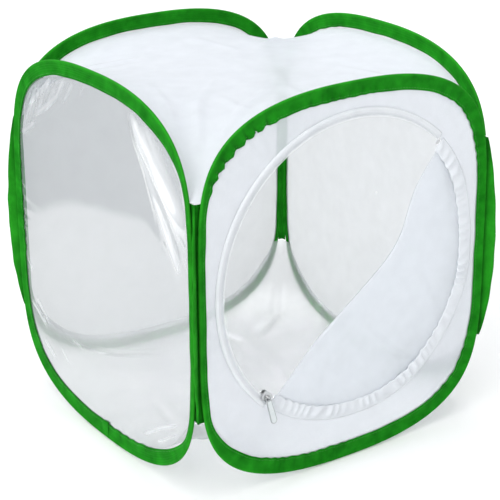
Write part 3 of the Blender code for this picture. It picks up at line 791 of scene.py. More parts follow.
# One net in three tones. The back and right sides are painted darker and let less light through: painted
# shade. The door is painted lightest and lets most light through: painted light.
side_net_painted_shade = net("fine net, two sides", thin=0.58, thick=0.82, colour=(0.765, 0.785, 0.80), through=0.10)
front_net = net("fine net, front", thin=0.64, thick=0.86, colour=(0.855, 0.885, 0.94), through=0.32)
for side in ("back", "right"):
    panel = net_panel(f"{side}_net", side, side_net_painted_shade, nearly_middle, depth_rows=44)
    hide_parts(f"{side}_panel_mesh")
    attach(panel, f"{side}_side")
front_panel = net_panel("front_net", "front", front_net, window_edge, depth_rows=18)
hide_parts("front_panel_mesh")
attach(front_panel, "front_side")


# The left panel is clear vinyl film, cut like the net ones. It isn't quite flat: it wrinkles in fans where
# it was eased round the hoop's corners, and one long crease runs down from the top arc to the front corner.
# Each wrinkle has its line in millimetres from the panel's middle, its half width and its height in metres.
film_wrinkles = [
    ([(-77, 149), (-110, 128), (-121, 115)], 0.0022, 0.0011),
    ([(-60, 152), (-96, 125), (-126, 104)], 0.0026, 0.0013),
    ([(-42, 155), (-62, 130), (-82, 116), (-119, 97)], 0.0030, 0.0013),
    ([(-25, 156), (-42, 137), (-58, 120)], 0.0032, 0.0010),
    ([(-90, 143), (-116, 120)], 0.0018, 0.0008),
    ([(-133, 80), (-98, 101)], 0.0030, 0.0012),
    ([(-8, 157), (-22, 138)], 0.0030, 0.0006),
    ([(-118, 122), (-127, 108), (-133, 90)], 0.0020, 0.0011),
    ([(-100, 136), (-120, 112), (-131, 84)], 0.0017, 0.0009),
    ([(-84, 146), (-104, 124), (-124, 94), (-134, 72)], 0.0021, 0.0010),
    ([(-68, 151), (-84, 134), (-100, 112)], 0.0017, 0.0008),
    ([(-50, 154), (-70, 132), (-88, 106)], 0.0020, 0.0009),
    ([(-34, 156), (-50, 136)], 0.0018, 0.0007),
    ([(58, 148), (75, 124), (96, 101), (120, 79), (140, 62)], 0.0056, 0.0030),
    ([(70, 140), (94, 112), (118, 84), (142, 46)], 0.0150, 0.0020),
    ([(60, 134), (80, 104), (100, 74), (120, 44), (136, 12)], 0.0060, 0.0016),
    ([(84, 124), (108, 92), (132, 54)], 0.0070, 0.0024),
    ([(96, 88), (116, 62), (134, 30)], 0.0036, 0.0012),
    ([(70, 118), (88, 92)], 0.0016, 0.0008),
    ([(52, 147), (66, 122), (80, 98), (92, 72), (98, 52)], 0.0024, 0.0009),
    ([(82, 138), (100, 116), (124, 92)], 0.0030, 0.0010),
    ([(126, 66), (141, 50)], 0.0020, 0.0009),
    ([(104, 50), (117, 36)], 0.0022, 0.0006),
    ([(134, 47), (141, 33)], 0.0017, 0.0007),
    ([(-138, -38), (-122, -52)], 0.0022, 0.0009),
    ([(-132, -80), (-98, -101)], 0.0026, 0.0013),
    ([(-122, -74), (-92, -98)], 0.0019, 0.0010),
    ([(-110, -112), (-84, -128)], 0.0022, 0.0009),
    ([(-76, -108), (-60, -124)], 0.0021, 0.0007),
    ([(-54, -92), (-28, -97)], 0.0022, 0.0007),
    ([(60, -139), (98, -116), (136, -97)], 0.0024, 0.0009),
    ([(84, -136), (128, -108)], 0.0018, 0.0008),
]
full_wrinkle_height = 0.0022
wrinkles_start = 0.006
film_slack = 0.0006
film_taut_edge = 0.05

# A fan of nine fine wrinkles more in the upper back corner
for number in range(9):
    top = np.array([-121 + 9.5 * number, 129 + 3.0 * number])
    foot = np.array([-136 + 5.5 * number, 66 + 6.0 * number])
    bend = (top + foot) / 2 + np.array([3.0 - 1.5 * (number % 3), -3.0 + (number % 2)])
    film_wrinkles.append(([tuple(top), tuple(bend), tuple(foot)], 0.0013 + 0.0002 * (number % 3), 0.0008))


def near_line(u, v, line):
    """Distance from a bent line, and how far along it the nearest point lies, from 0 to 1."""
    line = np.array(line) * 0.001
    lengths = np.hypot(*np.diff(line, axis=0).T)
    best = np.full(u.shape, np.inf)
    share = np.zeros(u.shape)
    done = 0.0
    for start, end, length in zip(line[:-1], line[1:], lengths):
        way = (end - start) / length
        t = np.clip(((u - start[0]) * way[0] + (v - start[1]) * way[1]) / length, 0, 1)
        distance = np.hypot(u - start[0] - t * length * way[0], v - start[1] - t * length * way[1])
        closer = distance < best
        best = np.where(closer, distance, best)
        share = np.where(closer, (done + t * length) / lengths.sum(), share)
        done += length
    return best, share


def make_film(material, depth_rows=110, count=480):
    depths = np.linspace(0, 1, depth_rows)[None, :]
    u, v, past_tape, out = panel_field("left", count, depths, nearly_middle)
    crease = np.zeros_like(out)
    loose = smooth_step(past_tape / wrinkles_start)
    for line, half, height in film_wrinkles:
        distance, share = near_line(u, v, line)
        ends = smooth_step(share / 0.18 + 0.15) * smooth_step((1 - share) / 0.35)
        ridge = hump(distance, half) * ends
        dip = hump(distance, 2.2 * half) * ends
        out = out + loose * height * (ridge - 0.45 * dip)
        crease = np.maximum(crease, ridge * min(1.0, height / full_wrinkle_height))
    slack = film_slack * smooth_step(past_tape / film_taut_edge)
    out = out + slack * np.sin(u * 23 + v * 11 + 0.6) * np.cos(v * 19 - 0.8)
    film = panel_piece("left_film", "left", material, u, v, out)
    # Whiter and less clear along the wrinkles: partly stress whitening, partly painted highlight
    set_attribute(film, "crease", np.clip(crease * loose, 0, 1))
    return film


# The film is milky and clear. Along its wrinkles it is whiter and less clear: partly stress whitening, partly
# a painted highlight.
clear_vinyl = new_material("clear vinyl film")
film_haze = mottle(clear_vinyl, 22.0, detail=3.0, roughness=0.55)
film_scratches = mottle(clear_vinyl, 160.0, detail=4.0)
fold_whitening_and_highlight = mark(clear_vinyl, "crease")
haze_tone = mixed(clear_vinyl, film_haze, (0.37, 0.395, 0.415), (0.45, 0.475, 0.495))
film_density = reckoned(clear_vinyl, "MULTIPLY_ADD", film_haze, 0.06, 0.42)
film_surface = {
    "Base Color": mixed(clear_vinyl, fold_whitening_and_highlight, haze_tone, (0.93, 0.95, 0.97)),
    "Alpha": reckoned(clear_vinyl, "MULTIPLY_ADD", fold_whitening_and_highlight, 0.45, film_density),
    "Roughness": between(clear_vinyl, film_scratches, (0.3, 0.8), (0.04, 0.12)),
    "Normal": bumped(clear_vinyl, film_haze, 0.10, 0.0010),
    "IOR": 2.0,
    "Specular IOR Level": 0.5,
    "Coat Weight": 1.0,
    "Coat IOR": 2.3,
    "Coat Roughness": 0.04,
}
give(shader_of(clear_vinyl), film_surface)
film = make_film(clear_vinyl)
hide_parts("left_panel_film")
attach(film, "left_side")


# The top and the floor: one square of light woven cloth each, sewn along all four arcs and pulled taut
# between them, so it settles in a saddle, low at the corners and high at the arcs. Light shows through it.
sheet_end = seam + 0.0011
corner_clearance = 0.00055
under_tape = 0.0011
behind_tape = 0.0004
behind_bead = bead + 0.00015
behind_corner = bead + corner_clearance
corner_run = 0.03
folds_start = 0.004
folds_full = 0.02
least_steep = 0.18
steep_span = 0.5

# Soft folds in the cloth, from the corners towards the middle: a line across the cage in millimetres, half
# width and height in metres
sheet_folds = [
    ([(-132, -128), (-88, -62), (-30, -10)], 0.0050, 0.00275),
    ([(-126, -136), (-60, -92), (10, -50)], 0.0042, 0.00225),
    ([(-136, -112), (-112, -50), (-92, 20)], 0.0044, 0.0020),
    ([(130, 130), (92, 84), (40, 48)], 0.0052, 0.0025),
    ([(-130, 132), (-84, 96), (-36, 76)], 0.0046, 0.00225),
    ([(132, -130), (96, -96), (60, -30)], 0.0046, 0.00225),
    ([(-20, -120), (-8, -70), (30, 0)], 0.0060, 0.0015),
    ([(20, 118), (30, 60), (10, 10)], 0.0060, 0.0015),
    ([(-70, -110), (-66, -40)], 0.0050, 0.0015),
]


def sheet_edge(count):
    """Where the cloth is sewn along one arc: across, height above the middle, and in from the plane."""
    corner = panel_plane - bead - corner_clearance
    top = run_at(90.0)
    quarter = len(edge_v) // 4 + 1
    seam_run = np.interp(seam, edge_v[:quarter], edge_run[:quarter])
    run = top - np.linspace(-1, 1, count - 2) * (top - seam_run)
    u, v, out_u, out_v = outline_at(run)
    inset = np.maximum(tape_width("back", u, v), tape_width("back", -u, v)) + under_tape
    across = u - out_u * inset
    height = np.maximum(v - out_v * inset, sheet_end)
    from_end = np.minimum(np.abs(run - run[0]), np.abs(run[-1] - run))
    behind = behind_tape + behind_bead * (1 - smooth_step(from_end / corner_run))
    across = np.concatenate([[-corner], across, [corner]])
    height = np.concatenate([[sheet_end], height, [sheet_end]])
    behind = np.concatenate([[behind_corner], behind, [behind_corner]])
    return across, height, behind


def settle(heights, across, rounds):
    """Moves each point midway between its neighbours until the cloth is taut, over-relaxed to be quick."""
    gaps = np.diff(across)
    before = 1 / gaps[:-1] / (gaps[:-1] + gaps[1:])
    after = 1 / gaps[1:] / (gaps[:-1] + gaps[1:])
    total = (before + after)[:, None] + (before + after)[None, :]
    rows, columns = np.indices(heights.shape)
    square_colour = (rows + columns)[1:-1, 1:-1] % 2
    inside = heights[1:-1, 1:-1]
    for _ in range(rounds):
        for colour in (0, 1):
            pull = heights[:-2, 1:-1] * before[:, None] + heights[2:, 1:-1] * after[:, None]
            pull = pull + heights[1:-1, :-2] * before[None, :] + heights[1:-1, 2:] * after[None, :]
            mine = square_colour == colour
            step = 1.85 * (pull / total - inside)
            inside[mine] += step[mine]
    return heights


def make_cloth_square(name, upwards, material, count=97):
    across, rim, behind = sheet_edge(count)
    heights = np.full((count, count), rim.mean())
    heights[0, :] = heights[-1, :] = heights[:, 0] = heights[:, -1] = rim
    heights = settle(heights, across, rounds=420)
    x, y = np.meshgrid(across, across, indexing="ij")
    edge = panel_plane - behind[1:-1]
    y[1:-1, 0], y[1:-1, -1] = -edge, edge
    x[0, 1:-1], x[-1, 1:-1] = -edge, edge
    from_rim = panel_plane - np.maximum(np.abs(x), np.abs(y))
    for line, half, height in sheet_folds:
        distance, share = near_line(x, y, line)
        ends = smooth_step(share / 0.2) * smooth_step((1 - share) / 0.5)
        ridge = hump(distance, half) - 0.5 * hump(distance, 2.4 * half)
        heights = heights + height * ridge * ends * smooth_step((from_rim - folds_start) / folds_full)
    points = np.stack([x, y, upwards * heights], axis=-1) + cage_middle
    square = grid_piece(name, points, np.stack([x, y], axis=-1), material, toward=(0, 0, upwards))
    slope = np.hypot(np.gradient(heights, across, axis=0), np.gradient(heights, across, axis=1))
    set_attribute(square, "steep", smooth_step((slope - least_steep) / steep_span))
    return square


def see_through_cloth(name, dark, light, shown, through, gathered):
    """Light cloth. Where it is drawn steeply to the corners it is gathered and denser, and greyer as painted
    shade.
    """
    material = woven(name, dark, light, roughness=0.8, pitch=0.0005, relief=0.3, sheen=0.15)
    steep = mark(material, "steep")
    density = between(material, mottle(material, 35.0), (0.3, 0.7), (shown - 0.03, shown + 0.03))
    dense = reckoned(material, "MULTIPLY_ADD", steep, 0.5 * gathered, density)
    give(shader_of(material), {"Alpha": dense})
    # Greyer towards the steep corners: painted shade
    tint(material, reckoned(material, "MULTIPLY", steep, gathered), (0.10, 0.115, 0.12))
    let_light_through(material, through)
    return material


# The top and the floor are the same cloth. The floor's is given a paler colour and lets more light through:
# painted light in the shade inside the cage.
top_cloth = see_through_cloth(
    "top cloth",
    dark=(0.80, 0.83, 0.885),
    light=(0.85, 0.88, 0.935),
    shown=0.93,
    through=0.42,
    gathered=0.0,
)
floor_cloth = see_through_cloth(
    "floor cloth",
    dark=(0.92, 0.945, 0.965),
    light=(0.95, 0.975, 0.99),
    shown=0.76,
    through=0.58,
    # Denser at the steep corners, and greyer there as painted shade
    gathered=0.32,
)
for name, node, upwards, material in (
    ("top_cloth", "top_sheet", 1, top_cloth),
    ("floor_cloth", "bottom_sheet", -1, floor_cloth),
):
    square = make_cloth_square(name, upwards, material)
    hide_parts(node)
    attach(square, "left_side")
    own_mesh(square)


# The four upright corner tapes: a strip of the same green binding, with a leg sewn flat inside each of the
# two hoops that it joins. Between them it is folded outwards and stitched, and stands out as a soft flange
# from the corner. It is the cage's cloth hinge.
strip_cloth = 0.0004
flange_reach = 0.0108
flange_root = 0.0004
flange_half = 0.0007
soft_corner = 0.0006
soft_corner_leg = 0.002
strip_fold_shade_reach = 0.0016
# The back right strip rides on the back hoop alone, and its legs are this much shorter
short_leg = 0.0018
corners = {
    "front_left": (-1, -1, "left_side", "front_side"),
    "front_right": (1, -1, "front_side", "right_side"),
    "back_right": (1, 1, "back_side", None),
    "back_left": (-1, 1, "back_side", "left_side"),
}


def corner_section(low, high, stands):
    """The strip's outline seen from above in the left front corner: two legs, and the flange between them."""
    leg = low + strip_cloth
    middle = (low + high) / 2
    tip = stands / math.sqrt(2)
    slant = min(flange_half, 0.5 * stands) / math.sqrt(2)
    right = [(high, leg), (high, low), (leg + 2.6 * slant, low), (low + slant, low - slant)]
    for share, swell in ((0.35, 1.0), (0.7, 1.25), (0.9, 1.5)):
        right.append((low - tip * share + slant * swell, low - tip * share - slant * swell))
    left = [(y, x) for x, y in right][::-1]
    inner = [(leg, middle), (leg, low + soft_corner_leg), (leg + soft_corner, leg + soft_corner)]
    inner += [(low + soft_corner_leg, leg), (middle, leg)]
    return np.array([*right, (low - tip, low - tip), *left, *inner])


def close_ends(strip):
    """Closes both open ends of a strip, and turns all its faces outwards."""
    shape = bmesh.new()
    shape.from_mesh(strip.data)
    bmesh.ops.holes_fill(shape, edges=[edge for edge in shape.edges if edge.is_boundary], sides=0)
    bmesh.ops.recalc_face_normals(shape, faces=shape.faces)
    shape.to_mesh(strip.data)
    shape.free()


for name, (sign_x, sign_y, first, second) in corners.items():
    low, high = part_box(f"{name}_corner_tape")
    corner_x, leg_x = (low.x, high.x) if sign_x < 0 else (high.x, low.x)
    from_middle = abs(corner_x - cage_middle[0])
    leg_end = abs(leg_x - cage_middle[0]) + (short_leg if name == "back_right" else 0.0)
    levels = np.linspace(low.z, high.z, 120)[:, None]
    height = (levels - cage_middle[2]) / seam
    belly = np.clip(1 - (height / 1.01) ** 2, 0.0, 1.0) ** 0.8
    reach = flange_reach - 0.0010 * height + 0.0002 * np.sin(height * 19 + sign_x)
    stands = belly * reach + flange_root
    section = np.stack([corner_section(-from_middle, -leg_end, float(row)) for row in stands.ravel()])
    inwards = section.max(axis=2) + from_middle
    outside = np.clip(-inwards / 0.006, 0, 1)
    lean = 0.00035 * np.sin(height * 11 + 2 * sign_x) + 0.00025 * np.sin(height * 27 + sign_y)
    x = cage_middle[0] - sign_x * (section[..., 0] + lean * outside)
    y = cage_middle[1] - sign_y * (section[..., 1] - lean * outside)
    points = np.stack(np.broadcast_arrays(x, y, levels), axis=-1)
    around = length_so_far(*section[len(levels) // 2].T)
    around = np.append(around, around[-1] + strip_cloth)
    uv = np.stack(np.broadcast_arrays(levels, around[None, :]), axis=-1)
    strip = grid_piece(f"{name}_strip", points, uv, green_tape, loop_columns=True)
    close_ends(strip)
    # Painted shade where the strip turns in at the corner; the lighter green on the flange that stands out is
    # partly wear, partly painted sheen
    set_attribute(strip, "crease", 0.8 * hump(inwards, strip_fold_shade_reach))
    set_attribute(strip, "rub", 0.6 * outside)
    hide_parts(f"{name}_corner_tape")
    if second is None:
        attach(strip, first)
        continue
    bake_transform(strip)


# The door's cloth is one disc of the same net as the front. Its lower right half is sewn into the rim, and
# the free half is folded in behind it, along a soft bend that sags towards the sewn side. The fold is one
# with both halves.
fold_turn = math.radians(-42.5)
fold_way = np.array([math.cos(fold_turn), math.sin(fold_turn)])
fold_run = np.array([-fold_way[1], fold_way[0]])
fold_offset = 0.008
fold_thickness = 0.0008
flap_turn = math.radians(176.0)
door_radius = 0.1225
gather_pitch = 0.0085
gather_height = 0.00035
sewn_slack = 0.0011
free_slack = 0.0016
joints = {joint["name"]: joint for joint in frame["joints"]}
hinge_point = np.array(joints["flap_fold"]["pos_m"])
hinge_axis = np.array(joints["flap_fold"]["axis"])
hinge_axis = hinge_axis / np.linalg.norm(hinge_axis)

# Creases in the sewn half: a line in millimetres from the panel's middle, width and height in metres
door_creases = [
    ([(20, -62), (48, -80), (76, -97)], 0.0022, 0.0012),
    ([(14, -50), (40, -72), (60, -92)], 0.0026, 0.0010),
    ([(58, 10), (82, -28), (96, -60)], 0.0050, 0.0012),
    ([(-40, -62), (-30, -92)], 0.0040, 0.0009),
]


def across_fold(off, run):
    """Across and up on the panel, from the distances off the ring's middle across and along the fold."""
    return [ring_middle[k] + fold_way[k] * off + fold_run[k] * run for k in (0, 1)]


def at_door(body, u, v, out):
    """Points of the door. The flap's are turned in about the fold, to where the open flap rests."""
    points = on_side("front", u, v, out)
    if body != "flap":
        return points
    arm = points - hinge_point
    lengthwise = (arm @ hinge_axis)[..., None] * hinge_axis
    square = np.cross(hinge_axis, arm)
    return hinge_point + lengthwise + (arm - lengthwise) * math.cos(flap_turn) + square * math.sin(flap_turn)


def fold_sag(run):
    """How far the soft fold sags past the straight line between its two ends."""
    marks = np.array([-122, -110, -85, -60, -31, 0, 20, 36, 50, 66, 84, 104, 122]) * 0.001
    sag = np.array([0.0, 0.6, 1.4, 4.0, 10.5, 17.0, 20.5, 21.0, 18.5, 11.0, 3.2, 0.6, 0.0]) * 0.001
    fine = np.linspace(marks[0], marks[-1], 245)
    level = np.interp(fine, marks, sag)
    for _ in range(24):
        level[1:-1] = (level[:-2] + 2 * level[1:-1] + level[2:]) / 4
    return np.interp(run, fine, level)


def make_door_cloth(material, columns=150, sewn_rows=46, free_rows=40):
    half = 0.999 * math.sqrt(door_radius**2 - fold_offset**2)
    run = half * np.sin(np.linspace(-math.pi / 2, math.pi / 2, columns))[:, None]
    sag = fold_sag(run)
    fold = fold_offset + sag
    rim = np.sqrt(door_radius**2 - run**2)
    angle = np.arctan2(run * fold_run[1] + rim * fold_way[1], run * fold_run[0] + rim * fold_way[0])

    # The sewn half, from the rim to the fold: gathered at the rim, and slack in between
    share = np.linspace(1, 0, sewn_rows)[None, :] ** 0.9
    off = fold + (np.maximum(rim + ring_wander(angle), fold) - fold) * share
    to_rim = (1 - share) * (rim - fold)
    u, v = across_fold(off, run)
    gather = np.exp(-to_rim / 0.010) * smooth_step((rim - fold_offset) / 0.02)
    beat = door_radius * angle * 2 * math.pi / gather_pitch + np.sin(door_radius * angle * 60)
    swell = smooth_step(share * (rim - fold) / 0.02) * smooth_step(to_rim / 0.03)
    waves = (1 + np.sin(u * 62 + v * 30 + 0.5)) * (0.6 + 0.4 * np.sin(v * 55 - u * 20))
    relief = gather_height * gather * (1 + np.sin(beat)) + sewn_slack * swell * waves
    for line, width, height in door_creases:
        distance, way = near_line(u, v, line)
        ends = smooth_step(way / 0.3) * smooth_step((1 - way) / 0.3) * smooth_step(to_rim / 0.01)
        relief = relief + height * hump(distance, width) * ends
    sewn = at_door("front_side", u, v, relief)
    sewn_uv = np.stack(np.broadcast_arrays(off, run), axis=-1)

    # The free half, from the fold to its own edge, turned in behind the sewn one
    share = np.linspace(0, 1, free_rows)[None, :] ** 1.1
    near = fold_offset - sag - fold_thickness
    off = near - (rim + near) * share
    droop = smooth_step(share / 0.3) * smooth_step((1 - share) / 0.25)
    droop = droop * smooth_step((rim - fold_offset) / 0.03)
    waves = (1 + np.sin(off * 52 + run * 37)) * (0.5 + 0.5 * np.sin(run * 61 + 0.7))
    relief = free_slack * droop * waves
    free = at_door("flap", *across_fold(off, run), relief)
    free_uv = np.stack(np.broadcast_arrays(off, run), axis=-1)
    points = np.concatenate([sewn, free], axis=1)
    uv = np.concatenate([sewn_uv, free_uv], axis=1)
    return grid_piece("door_cloth", points, uv, material, toward=(0, -1, 0))


# The door's net is the front's, painted lighter: painted light
door_net_painted_light = net("fine net, door", thin=0.80, thick=0.94, colour=(0.895, 0.925, 0.965), through=0.50)
door_cloth = make_door_cloth(door_net_painted_light)
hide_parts("door_flap", "door_flap_sewn_part")
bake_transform(door_cloth)


# The rim of the sewn half is a band of soft white tape, gathered as it was sewn round, so it stands up in
# small ruffles. The zipper's own two tapes are flat woven bands, one on the panel and one on the flap.
ring_radius = 0.127
zip_start = math.radians(225.5)
zip_end = math.radians(49.5)
zip_turn_in = 0.0374
rim_turn_in = 0.072
rim_half = 0.0065
chain_half = 0.0015
zip_reach = 0.0085
band_crown = 0.00012
zip_fold_height = 0.0011
ruffle_pitch = 0.0088
ruffle_foot = 0.0004
ruffle_height = 0.0022
ruffle_edge_height = 0.0010
scallop_depth = 0.0007


def ring_strip(name, body, angles, edges, faces, lift, material, steps=9):
    """A thin band round the door's ring, between two edges, with a front and a back and closed ends."""
    inner, outer = (np.broadcast_to(edge, angles.shape)[:, None] for edge in edges)
    low, high = faces
    across = np.linspace(0, 1, steps)[None, :]
    radius = inner + (outer - inner) * across
    raised = lift(angles[:, None], across)
    front = high + raised + band_crown * np.sin(across * math.pi)
    back = low + raised
    radius = np.concatenate([radius, radius[:, ::-1]], axis=1)
    offset = np.concatenate([front, back[:, ::-1]], axis=1)
    points = at_door(body, *on_ring(radius, angles[:, None]), offset)
    around = np.concatenate([[0.0], np.cumsum(np.abs(np.diff(radius[0])) + np.abs(np.diff(offset[0])))])
    around = np.append(around, around[-1] + abs(high - low))
    uv = np.stack(np.broadcast_arrays((angles * ring_radius)[:, None], around[None, :]), axis=-1)
    band = grid_piece(name, points, uv, material, loop_columns=True)
    close_ends(band)
    return band


def rounded_lift(angles, across):
    """The zipper's tape is folded double under its outer line of stitches, which makes it softly round."""
    crown = np.sin(np.clip((across - 0.36) / 0.64, 0, 1) * math.pi) ** 0.8
    return zip_fold_height * crown * (1 + 0.12 * np.sin(angles * ring_radius * 190))


def rounded_on_flap(angles, across):
    return rounded_lift(angles, 1 - across)


def ruffled_lift(angles, across):
    """Ruffles of the gathered rim: they rise off the panel between the two lines of stitches."""
    run = angles * ring_radius
    beat = 2 * math.pi * run / ruffle_pitch + 2.2 * np.sin(run * 83) + 1.3 * np.sin(run * 171 + 1.0)
    wave = 0.5 + 0.5 * np.sin(beat + 2.6 * across * np.sin(run * 47))
    height = 0.55 + 0.3 * np.sin(run * 59 + 0.4) + 0.25 * np.sin(run * 131 + 2.0)
    height = height * (0.25 + 0.75 * smooth_step((angles - zip_start) / 0.5))
    bulge = np.sin(np.clip(across * 1.1, 0, 1) * math.pi)
    raised = ruffle_height * bulge * wave**1.4 + ruffle_edge_height * hump(across - 0.04, 0.2) * wave
    return (ruffle_foot + raised) * np.clip(height, 0.25, 1.0)


soft_white = woven(
    "gathered white tape",
    dark=(0.70, 0.725, 0.765),
    light=(0.77, 0.80, 0.835),
    roughness=0.7,
    pitch=0.0005,
    relief=0.4,
    sheen=0.1,
)
zip_white = woven(
    "white zipper tape",
    dark=(0.72, 0.745, 0.775),
    light=(0.79, 0.815, 0.84),
    roughness=0.66,
    pitch=0.0006,
    relief=0.45,
    sheen=0.1,
)
rim_span = (zip_start + rim_turn_in, zip_end + 2 * math.pi - rim_turn_in)
rim_angles = np.linspace(*rim_span, 700)
rim_run = rim_angles * ring_radius
rim_middle = ring_radius + ring_wander(rim_angles)
scallops = np.sin(rim_run * 560 + 2.0 * np.sin(rim_run * 70)) * (0.6 + 0.4 * np.sin(rim_run * 39))
scallops = scallop_depth * scallops
rim_edges = (rim_middle - rim_half + scallops, rim_middle + rim_half)
rim_faces = (0.00075, 0.00115)
rim_band = ring_strip(
    "door_rim", "front_side", rim_angles, rim_edges, rim_faces, ruffled_lift, soft_white, steps=11
)
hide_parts("door_rim_tape")
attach(rim_band, "front_side")

zip_spans = {"front_side": (zip_end - zip_turn_in, zip_start + zip_turn_in), "flap": (zip_end, zip_start)}
zip_faces = (0.00055, 0.00105)
for name, node, body, from_ring, lift in (
    ("zipper_tape_on_panel", "panel_zipper_tape", "front_side", (chain_half, zip_reach), rounded_lift),
    ("zipper_tape_on_flap", "flap_zipper_tape", "flap", (-zip_reach, -chain_half), rounded_on_flap),
):
    angles = np.linspace(*zip_spans[body], 360)
    edges = [ring_radius + edge for edge in from_ring]
    band = ring_strip(name, body, angles, edges, zip_faces, lift, zip_white)
    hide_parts(node)
    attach(band, body)


# The two halves of the zipper's chain: a flattened coil of nylon line, sewn along the edge of each tape.
# One turn is drawn, with its head towards the other half, and set along the ring.
coil_pitch = 0.0012
coil_turn_length = 0.0011
coil_half_depth = 0.00068
coil_half_height = 0.00042
coil_line_radius = 0.00021
coil_from_middle = 0.0016
coil_level = 0.0020
small_step = 0.001


def coil_turn(name, steps=11, sides=5):
    """One turn of the coil: X along the chain, Y towards the other half, Z out of the cloth."""
    share = np.linspace(0, 1, steps)
    turn = -math.pi / 2 + 2 * math.pi * share
    path = [coil_turn_length * (share - 0.5), coil_half_depth * np.sin(turn), coil_half_height * np.cos(turn)]
    path = np.stack(path, axis=1)
    way = np.gradient(path, axis=0)
    way = way / np.linalg.norm(way, axis=1)[:, None]
    first = np.cross(way, [1.0, 0.0, 0.0])
    first = first / np.linalg.norm(first, axis=1)[:, None]
    second = np.cross(way, first)
    spin = (np.arange(sides) * 2 * math.pi / sides)[None, :, None]
    ring = first[:, None, :] * np.cos(spin) + second[:, None, :] * np.sin(spin)
    return closed_tube(name, path[:, None, :] + coil_line_radius * ring)


def evenly_round(radius, span, pitch):
    """Even angles round the ring between two ends, one in the middle of each pitch."""
    first, last = span
    count = int(radius * abs(last - first) / pitch)
    return first + (np.arange(count) + 0.5) * (last - first) / count


def line_on_door(body, radius, angles, out):
    """Places round the ring, the way on along it, and the way out of the cloth."""
    u, v = on_ring(radius, angles)
    here = at_door(body, u, v, out)
    ahead = at_door(body, u - small_step * np.sin(angles), v + small_step * np.cos(angles), out)
    above = at_door(body, u, v, out + small_step)
    return here, ahead - here, above - here


def plain_finish(name, dark, light, roughness, metallic=0.0, size=500.0, relief=0.1):
    """A hard surface: two close tones in a fine mottle, uneven polish and a faint unevenness of surface."""
    material = new_material(name)
    grain = mottle(material, size, detail=4.0, roughness=0.6)
    surface = {
        "Base Color": mixed(material, grain, dark, light),
        "Roughness": between(material, grain, (0.0, 1.0), (roughness - 0.08, roughness + 0.1)),
        "Normal": bumped(material, grain, relief, 0.0003),
        "Metallic": metallic,
    }
    give(shader_of(material), surface)
    return material


nylon = plain_finish(
    "white nylon", dark=(0.80, 0.82, 0.84), light=(0.90, 0.92, 0.94), roughness=0.42, size=900.0
)
one_turn = coil_turn("coil turn")
for name, node, body, outwards in (
    ("zipper_coil_on_panel", "panel_zipper_coil", "front_side", 1),
    ("zipper_coil_on_flap", "flap_zipper_coil", "flap", -1),
):
    radius = ring_radius + outwards * coil_from_middle
    angles = evenly_round(radius, zip_spans[body], coil_pitch)
    here, along, out = line_on_door(body, radius, angles, coil_level)
    lines = [(here, outwards * along, out)]
    coil = repeated(name, one_turn, lines, nylon, unevenness=0.03, seed=31)
    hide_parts(node)
    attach(coil, body)


# The stitches round the door: two lines of white lockstitch along each zipper tape, and one along the
# rim's outer edge. Each line lies at a distance from the ring, and at a level above the panel.
door_stitch_pitch = 0.0027
outer_line, outer_level = 0.0072, 0.00113
inner_line, inner_level = 0.0048, 0.00118
rim_line, rim_level = 0.0056, 0.00125
rim_line_share = 0.93
white_thread = woven(
    "white thread",
    dark=(0.80, 0.82, 0.85),
    light=(0.90, 0.92, 0.95),
    roughness=0.6,
    pitch=0.0003,
    relief=0.2,
    sheen=0.1,
)
door_stitch = rounded_rod("door stitch", length=0.0022, radius=0.00017)


def zip_stitches(body, from_ring, level):
    """One line of stitches along a zipper tape, raised as the tape is there."""
    radius = ring_radius + (-from_ring if body == "flap" else from_ring)
    angles = evenly_round(radius, zip_spans[body], door_stitch_pitch)
    share = (from_ring - chain_half) / (zip_reach - chain_half)
    return line_on_door(body, radius, angles, level + rounded_lift(angles, share))


def rim_stitches():
    """One line of stitches along the outer edge of the gathered rim, raised as its ruffles are."""
    angles = evenly_round(ring_radius + rim_line, rim_span, door_stitch_pitch)
    radii = ring_radius + rim_line + ring_wander(angles)
    return line_on_door("front_side", radii, angles, rim_level + ruffled_lift(angles, rim_line_share))


lines_on_panel = [
    zip_stitches("front_side", outer_line, outer_level),
    zip_stitches("front_side", inner_line, inner_level),
    rim_stitches(),
]
lines_on_flap = [
    zip_stitches("flap", outer_line, outer_level),
    zip_stitches("flap", inner_line, inner_level),
]
for name, body, lines in (
    ("door_stitches_on_panel", "front_side", lines_on_panel),
    ("door_stitches_on_flap", "flap", lines_on_flap),
):
    stitches = repeated(name, door_stitch, lines, white_thread, unevenness=0.08, seed=51)
    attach(stitches, body)


# The slider, its arch and the two end stops are dark plated zinc, and the hoop wires and their ferrules are
# bare spring steel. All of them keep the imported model's shapes, and get their metal here.
zinc = plain_finish(
    "plated zinc",
    dark=(0.42, 0.43, 0.44),
    light=(0.74, 0.75, 0.76),
    roughness=0.30,
    metallic=1.0,
    size=700.0,
    relief=0.25,
)
steel = plain_finish(
    "spring steel",
    dark=(0.38, 0.38, 0.39),
    light=(0.56, 0.56, 0.57),
    roughness=0.34,
    metallic=1.0,
    relief=0.15,
)
metal_parts = {node: zinc for node in ("slider_body", "slider_bail", "zipper_bottom_stop", "zipper_top_stop")}
for side in tapes:
    metal_parts[f"{side}_hoop_wire"] = steel
    metal_parts[f"{side}_hoop_ferrule"] = steel
for node, metal in metal_parts.items():
    for slot in frame["nodes"][node].material_slots:
        slot.material = metal


